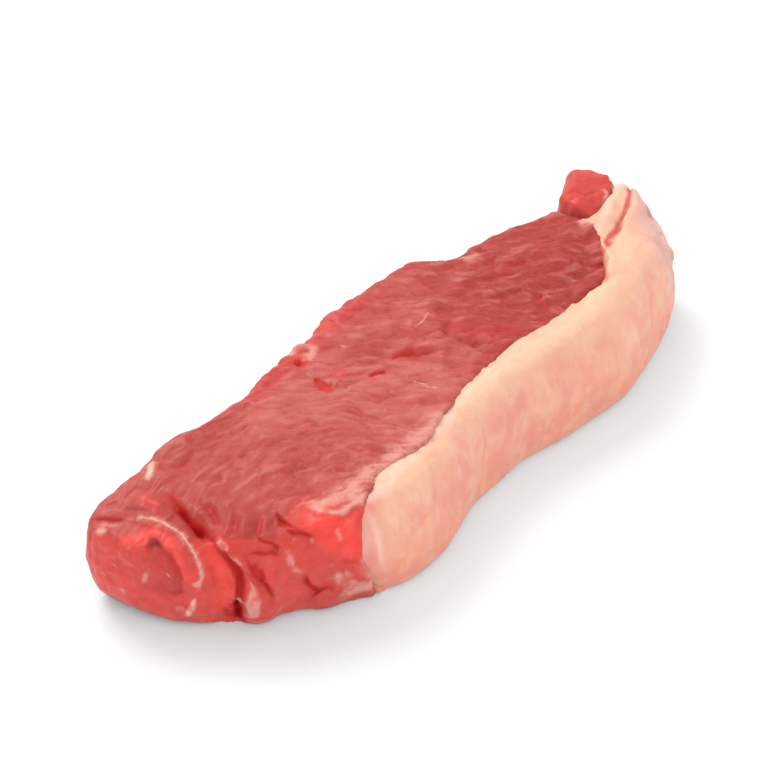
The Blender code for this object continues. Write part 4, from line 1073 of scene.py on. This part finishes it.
def makeLean(shape, colouring):
    piece = copyNode("lean", "leanMuscle")
    softMesh(piece, shape["voxel"])
    front = np.array(shape["nearFacing"])
    wide, tight = shape["finestEnd"]
    refineWhere(piece, lambda c, n: ((c[:, 2] > shape["fineAbove"]) & (n[:, 2] > 0.25))
                | ((c[:, 0] < shape["fineEnd"]) & (n @ front > 0.25)))
    refineWhere(piece, lambda c, n: (c[:, 0] < wide) & (n @ np.array(outward) > 0.45)
                & ((n @ front > 0.35) | (c[:, 0] < tight)))
    points, normals = readPoints(piece)
    fibre = fibrePlaces(points, shape["fibreTurns"])
    upper = fade(3.0, 9.0, points[:, 2])
    facing = fade(0.2, 0.6, normals[:, 2]) * (1 - 0.8 * fade(0.4, 0.7, normals @ front))
    wandering = fibre + shape["bundleDrift"] * noiseAt(points, 7.0, 3)[:, None]
    cells = cellsAt(wandering, shape["pillow"])
    pillows = 0.65 * fade(0.0, 0.5, cells) + 0.35 * fade(0.0, 0.16, cells) - 0.5
    pillows = pillows + 0.7 * noiseAt(fibre, (12.0, 4.0, 14.0), 1)
    wrinkles = noiseAt(wandering, shape["wrinkle"], 4, 3) + 0.5 * noiseAt(wandering, (2.6, 0.9, 3.0), 6)
    lumps = noiseAt(points, (11.0, 7.0, 11.0), 2)
    fineDrawn = wobble(points, 4.0, 0.35)
    rough = fade(*shape["steadyTo"], points[:, 0])[:, None]
    drawn = (wobble(points, 3.2, 0.85) + wobble(points, 1.3, 0.2) - points) * rough
    drawn = drawn + wobble(points, 4.0, 0.45) * (1 - rough)
    underRim = strokeShare(points, places["hollowSide"], 9.0, 2.0, 0)
    inHollow = regionShare(wobble(points, 4.0, 1.1), places["hollow"], 1.3 + 7.0 * (1 - underRim))
    inHollow = inHollow * (0.2 + 0.8 * underRim)
    inFacet = regionShare(drawn, places["wetFacet"], 2.5)
    calm = np.maximum.reduce([strokeShare(points, places[name], shape["calmReach"], 3.0, 0)
                              for name in ("cleft", "shoulder", "bandDark", "streakTop")])
    plain = facing * (1 - inFacet) * (1 - 0.65 * calm)
    # the back, where the chine was cut away
    wall = fade(0.1, 0.5, normals[:, 1]) * fade(0.55, 0.25, np.abs(normals[:, 2]))
    nearEnd = fade(0.35, 0.7, normals @ front) * fade(*shape["nearEnd"], points[:, 0])
    masks = {name: paint(fineDrawn if name == "line" else drawn, marks) for name, marks in colouring.items()}
    for name, mask, soft, strength, sunk in shape["areas"]:
        share = regionShare(drawn, places[name], soft)
        masks[mask] = np.maximum(masks.get(mask, 0.0), strength * share)
        points += np.array(inward) * (share * sunk)[:, None]
    torn = 0.55 + 0.45 * fade(-0.5, 0.1, noiseAt(fibre, (4.5, 1.8, 3.0), 31))
    skin = fade(-0.1, 0.6, noiseAt(points, (24.0, 12.0, 6.5), 41)) * wall
    threads = fade(0.06, 0.0, np.abs(noiseAt(points, (30.0, 14.0, 8.0), 42, 1))) * wall
    masks["film"] = np.maximum.reduce([masks["film"] * torn, 0.34 * skin, 0.4 * threads])
    masks["pale"] = np.maximum(masks["pale"] * torn, masks.pop("line"))
    moved = sculpt(drawn, normals, shape["strokes"]) + sculpt(drawn, normals, shape["ledges"], ledgeShare)
    points += sculpt(fineDrawn, normals, shape["fineStrokes"]) + moved
    points += np.array(inward) * (inHollow * shape["hollowDepth"])[:, None]
    knobs = 0.9 * noiseAt(points, 4.2, 14) + 0.16 * noiseAt(points, 1.6, 15)
    points += normals * (knobs * shape["knobHeight"] * nearEnd * (1 - 0.6 * inFacet))[:, None]
    rimLumps = shape["rimLumps"] * noiseAt(points, 3.8, 33)
    points += normals * (rimLumps * strokeShare(points, places["backRim"], 4.0, 2.0, 0.1))[:, None]
    soft = pillows * shape["pillowHeight"] + wrinkles * shape["wrinkleHeight"]
    soft = soft * (0.25 + 0.75 * np.maximum(plain, wall)) + lumps * shape["lumpHeight"]
    points += normals * (upper * soft)[:, None]
    points[:, 2] = np.maximum(points[:, 2], 0.0)
    writePoints(piece, points)
    writeMask(piece, "fibre", fibre)
    # the relief, which the material also paints as highlight on its ridges and shade in its valleys
    writeMask(piece, "relief", (pillows + 0.9 * wrinkles) * (0.2 + 0.8 * np.maximum(plain, 0.6 * wall)))
    writeMask(piece, "grain", (0.15 + 0.85 * plain) * (1 - 0.6 * calm))
    edges = fade(0.35, 0.05, normals[:, 2]) * 0.3
    # bright wet red on the facet, the marked places and steep sides, and painted light on the faces of the
    # near end, less in the hollow, which is painted shade
    masks["wet"] = np.maximum.reduce([masks["wet"], inFacet, nearEnd * (0.5 - 0.2 * inHollow), edges])
    masks["gloss"] = np.maximum(0.8 * inFacet, 0.7 * nearEnd)
    # painted sheen: a band of paler, greyer pink across the middle, on faces turned up, standing in for a
    # soft reflection
    middle, *widths = shape["sheenBand"]
    fromMiddle = np.abs(points[:, 0] - middle + 0.6 * points[:, 1])
    sheenBand = fade(*widths, fromMiddle + 4 * noiseAt(points, 12.0, 8)) * facing
    masks["sheenBand"] = sheenBand * (0.5 + 0.5 * fade(-0.25, 0.15, noiseAt(fibre, (14.0, 6.0, 12.0), 34)))
    # darker red towards the far end, on the shoulder and in the scoops, partly the meat's tone and partly
    # painted shade, and painted shade in the strap hollow, along the back rim and beside the fat's rim
    farther = fade(*shape["farFrom"], points[:, 0] - 0.7 * points[:, 1] + 5 * noiseAt(points, 14.0, 9))
    masks["far"] = np.maximum.reduce([
        farther, 0.5 * inHollow,
        0.8 * strokeShare(points, places["shoulder"], 9.0, 2.0, 0),
        0.75 * strokeShare(points, places["backRimAll"], 4.0, 2.0, 0),
        strokeShare(drawn, places["scoop"], 5.0, 2.5, 0),
        strokeShare(drawn, places["scoopFar"], 6.0, 2.0, 0),
        strokeShare(drawn, places["rimShade"], 2.6, 2.0, 0),
    ])
    for name, mask in masks.items():
        writeMask(piece, name, mask)
    print("lean:", len(piece.data.polygons), "faces")
    finishPiece(piece, leanMaterial, "lean_meat", "lean")
    return piece


leanPiece = makeLean(leanShape, leanPaint)


# the fat

fatShape = {
    "voxel": 1.0,
    "wrinkle": (5.5, 5.5, 20.0),
    "wrinkleHeight": 0.55,
    "fineAbove": 26,
    "top": 31.6,  # what rises above this is pressed down by half
    "foot": (-60, -23.5),  # the near lower corner, and how far it is lifted clear of the table
    "footLift": (0.6, 0.4, 3.4),
    "nearBand": 4.5,
    "creamFrom": (19, 30),  # heights
    "lowFrom": (20, 3),
    "seamFacing": (-0.45, 0.88, 0.15),
    "seamOverlap": 0.08,
    "seamRed": ([45, 65], [0.15, 0.75]),
    "seamReach": (2.8, 4.5),  # how far its rim leans over on to the lean, along most of it and at the far end
    "strokes": [
        ("flangeLeft", 2.7, 3.3, (0.2, 0.4, 0.87), 2.5, 0.1),
        ("flangeRight", 2.4, 3.7, (0.4, 0.3, 0.87), 2.0, 0.15),
        ("fatNearEdge", 3.0, 1.3, (-0.8, -0.6, 0.1), 2.0, 0),
        ("tongue", 2.0, -2.2, (0.0, 0.0, 1.0), 2.0, 0),
        ("flangeValley", 1.8, 1.7, (0.3, 0.35, 0.87), 2.0, 0.1), ("fatGroove", 0.7, -0.7),
        ("fatGrooveLow", 0.9, -0.5), ("fatNearGroove", 1.1, -0.7), ("fatNearPale", 1.2, 0.4),
        ("fatNearRidge", 1.0, 0.3), ("wrinkA", 1.6, -0.6), ("wrinkB", 1.8, 0.5), ("wrinkC", 1.6, -0.6),
        ("wrinkD", 1.9, 0.5), ("wrinkE", 1.7, -0.5), ("wrinkF", 2.0, 0.5), ("wrinkG", 1.7, -0.5),
        ("wrinkH", 1.9, 0.4), ("wrinkI", 1.6, -0.6), ("wrinkJ", 1.8, 0.5), ("edgeBitA", 0.8, 0.9),
        ("edgeBitB", 0.8, 0.9), ("edgeBitC", 0.9, 0.7), ("edgeBitD", 0.8, 0.8), ("fatPit", 0.8, -0.5),
    ],
}

fatPaint = {
    "red": [
        ("fatGroove", 1.0, 0.9, 2.0, 0), ("fatGrooveLow", 1.1, 0.9, 2.0, 0), ("edgeBitA", 0.9, 0.6, 2.0, 0),
        ("edgeBitB", 0.9, 0.45, 2.0, 0), ("edgeBitC", 1.2, 0.45, 2.0, 0), ("edgeBitD", 1.1, 0.7, 2.0, 0),
        ("membraneRose", 2.0, 0.25, 2.0, 0), ("fatPit", 0.6, 0.4), ("speckA", 0.7, 0.3, 2.0, 0),
        ("fatNearEdge", 0.9, 0.15, 2.0, 0), ("tongue", 1.6, 0.4, 2.0, 0),
        ("innerWall", 1.5, 0.85, 2.5, 0.2),
    ],
    "membrane": [("membrane", 4.0, 0.8, 2.0, 0), ("membraneRose", 3.0, 0.7, 2.0, 0)],
    "milky": [
        ("fatNearPale", 0.8, 0.9, 2.0, 0.3), ("stripeA", 0.8, 0.9), ("stripeB", 1.0, 0.7),
        ("fatCornerFilm", 2.2, 0.8, 2.0, 0), ("filmCream", 1.2, 0.5, 2.0, 0),
        ("flangeLeft", 1.2, 0.5, 2.0, 0),
    ],
    "blush": [
        ("flangeLeft", 3.0, 0.6, 2.0, 0), ("flangeRight", 2.0, 0.3, 2.0, 0), ("blushA", 4.0, 0.5),
        ("blushB", 3.5, 0.5), ("blushC", 4.0, 0.4), ("blushD", 4.5, 0.4), ("blushE", 3.0, 0.4),
        ("wrinkA", 1.2, 0.5), ("wrinkC", 1.2, 0.5), ("wrinkE", 1.3, 0.4), ("wrinkI", 1.2, 0.5),
        ("fatNearGroove", 1.0, 0.6), ("wrinkG", 1.2, 0.4),
    ],
}


def leanOver(points, normals, other, shape):
    # draws the rim across the narrow seam on to the neighbouring piece,
    # and tells how near to it each point was
    mesh = other.data
    tree = BVHTree.FromPolygons([v.co for v in mesh.vertices], [p.vertices for p in mesh.polygons])
    moved, touching = points.copy(), np.zeros(len(points))
    towardLean = np.array(shape["seamFacing"])
    low = np.where(points[:, 0] < -45, 1.0, 12.0)  # down to the table at the near end
    reach = np.interp(points[:, 0], [50, 65], shape["seamReach"])
    wide = np.interp(points[:, 0], [50, 70], [1.4, 6.0])  # the inner wall of the rim shows at the far end
    for k in np.nonzero(points[:, 2] > low)[0]:
        nearest, _, _, distance = tree.find_nearest(Vector(points[k] * mm), 6.0 * mm)
        if nearest is None:
            continue
        away = distance / mm
        share = float(fade(reach[k], 0.4 * reach[k], np.array(away)))
        share *= float(fade(low[k], low[k] + 4.0, points[k, 2]))
        toward = (np.array(nearest) / mm - points[k]) / max(away, 1e-6)
        moved[k] += toward * share * (away + shape["seamOverlap"])
        facing = float(fade(0.25, 0.7, normals[k] @ towardLean))
        inside = facing * fade(wide[k], 0.4 * wide[k], np.array(away))
        touching[k] = max(fade(1.4, 0.4, np.array(away)), inside)
    return moved, touching


def makeFat(shape, colouring):
    piece = copyNode("fat_cap", "fatCap")
    softMesh(piece, shape["voxel"])
    refineWhere(piece, lambda c, n: (n @ np.array(outward) > 0.1) | (c[:, 2] > shape["fineAbove"]))
    points, normals = readPoints(piece)
    drawn = wobble(points, 4.0, 0.5)
    masks = {name: paint(drawn, marks) for name, marks in colouring.items()}
    points += sculpt(drawn, normals, shape["strokes"])
    footX, footY = shape["foot"]
    foot = fade(8.0, 2.0, np.hypot(points[:, 0] - footX, points[:, 1] - footY)) * fade(8.0, 0.0, points[:, 2])
    points += foot[:, None] * np.array(shape["footLift"])
    wrinkles = noiseAt(points + 1.5 * noiseAt(points, 9.0, 11)[:, None], shape["wrinkle"], 5)
    wrinkles = wrinkles + 0.35 * noiseAt(points, (2.4, 2.4, 6.0), 12)
    points += normals * (wrinkles * shape["wrinkleHeight"] * fade(2.0, 8.0, points[:, 2]))[:, None]
    points, touching = leanOver(points, normals, leanPiece, shape)
    masks["red"] = np.maximum(masks["red"], touching * np.interp(points[:, 0], *shape["seamRed"]))
    nearBand = strokeShare(points, places["fatNearEdge"], shape["nearBand"], 2.5, 0)
    masks["blush"] = np.maximum.reduce([masks["blush"], 0.6 * touching, nearBand])
    masks["milky"] = masks["milky"] * (1 - 0.5 * nearBand)
    top = shape["top"]
    points[:, 2] = np.clip(points[:, 2], 0.0, top + 0.5 * np.maximum(points[:, 2] - top, 0.0))
    writePoints(piece, points)
    rim = strokeShare(points, places["creamRim"], 4.5, 2.0, 0)
    high = fade(*shape["creamFrom"], points[:, 2] + 3.0 * noiseAt(points, 8.0, 6))
    cream = np.maximum(rim * 0.9, high * 0.55)
    writeMask(piece, "cream", cream * (1 - 0.9 * nearBand) * (1 - 0.7 * touching))
    writeMask(piece, "low", fade(*shape["lowFrom"], points[:, 2] + 3 * noiseAt(points, 10.0, 7)))
    for name, mask in masks.items():
        writeMask(piece, name, mask)
    print("fat:", len(piece.data.polygons), "faces")
    finishPiece(piece, fatMaterial, "fat", "fat_cap")
    return piece


fatPiece = makeFat(fatShape, fatPaint)


# the small muscle at the far end

endMuscleShape = {
    "voxel": 0.6,
    "bundle": (8.0, 2.4, 10.0),
    "bundleHeight": 0.35,
    "lumpHeight": 0.3,
    "evenMasks": {"grain": 0.7, "sheenBand": 0.0, "far": 0.35, "gloss": 0.3},
    "strokes": [
        ("muscleCrease", 1.0, -0.6), ("muscleEdgePale", 1.1, 0.5), ("muscleTopLeft", 2.6, 0.9),
        ("muscleTopRight", 2.6, 0.8), ("muscleLow", 3.0, 1.0, (-0.6, -0.5, 0.6)),
    ],
}

endMusclePaint = {
    # painted shade in the creases of the end muscle
    "deep": [("creaseDark", 1.0, 0.4, 2.0, 0), ("muscleCrease", 0.7, 0.3)],
    "wet": [
        ("muscleTopRight", 9.0, 0.5, 2.0, 0), ("muscleCrease", 8.0, 0.4, 2.0, 0),
        # on the lower front of the end muscle the bright red is painted light, lifting its shade
        ("muscleLow", 5.0, 0.5, 2.0, 0),
    ],
    "film": [("muscleEdgePale", 1.2, 0.8, 2.0, 0), ("wedgePale", 1.3, 0.8, 2.0, 0)],
    "pale": [("blobPale", 1.0, 0.6, 2.0, 0)],
}


def makeEndMuscle(shape, colouring):
    piece = copyNode("end_muscle", "endMuscle")
    softMesh(piece, shape["voxel"])
    points, normals = readPoints(piece)
    fibre = fibrePlaces(points, leanShape["fibreTurns"])
    relief = noiseAt(fibre, shape["bundle"], 1)
    drawn = wobble(points, 3.2, 0.9)
    points += sculpt(drawn, normals, shape["strokes"])
    lumps = shape["lumpHeight"] * noiseAt(points, 3.5, 16)
    points += normals * (relief * shape["bundleHeight"] + lumps)[:, None]
    writePoints(piece, points)
    writeMask(piece, "fibre", fibre)
    writeMask(piece, "relief", relief * 0.5)
    for name, value in shape["evenMasks"].items():
        writeMask(piece, name, np.full(len(points), value))
    for name, marks in colouring.items():
        writeMask(piece, name, paint(drawn, marks))
    finishPiece(piece, leanMaterial, "lean_meat", "end_muscle")
    return piece


makeEndMuscle(endMuscleShape, endMusclePaint)
print("end muscle built")
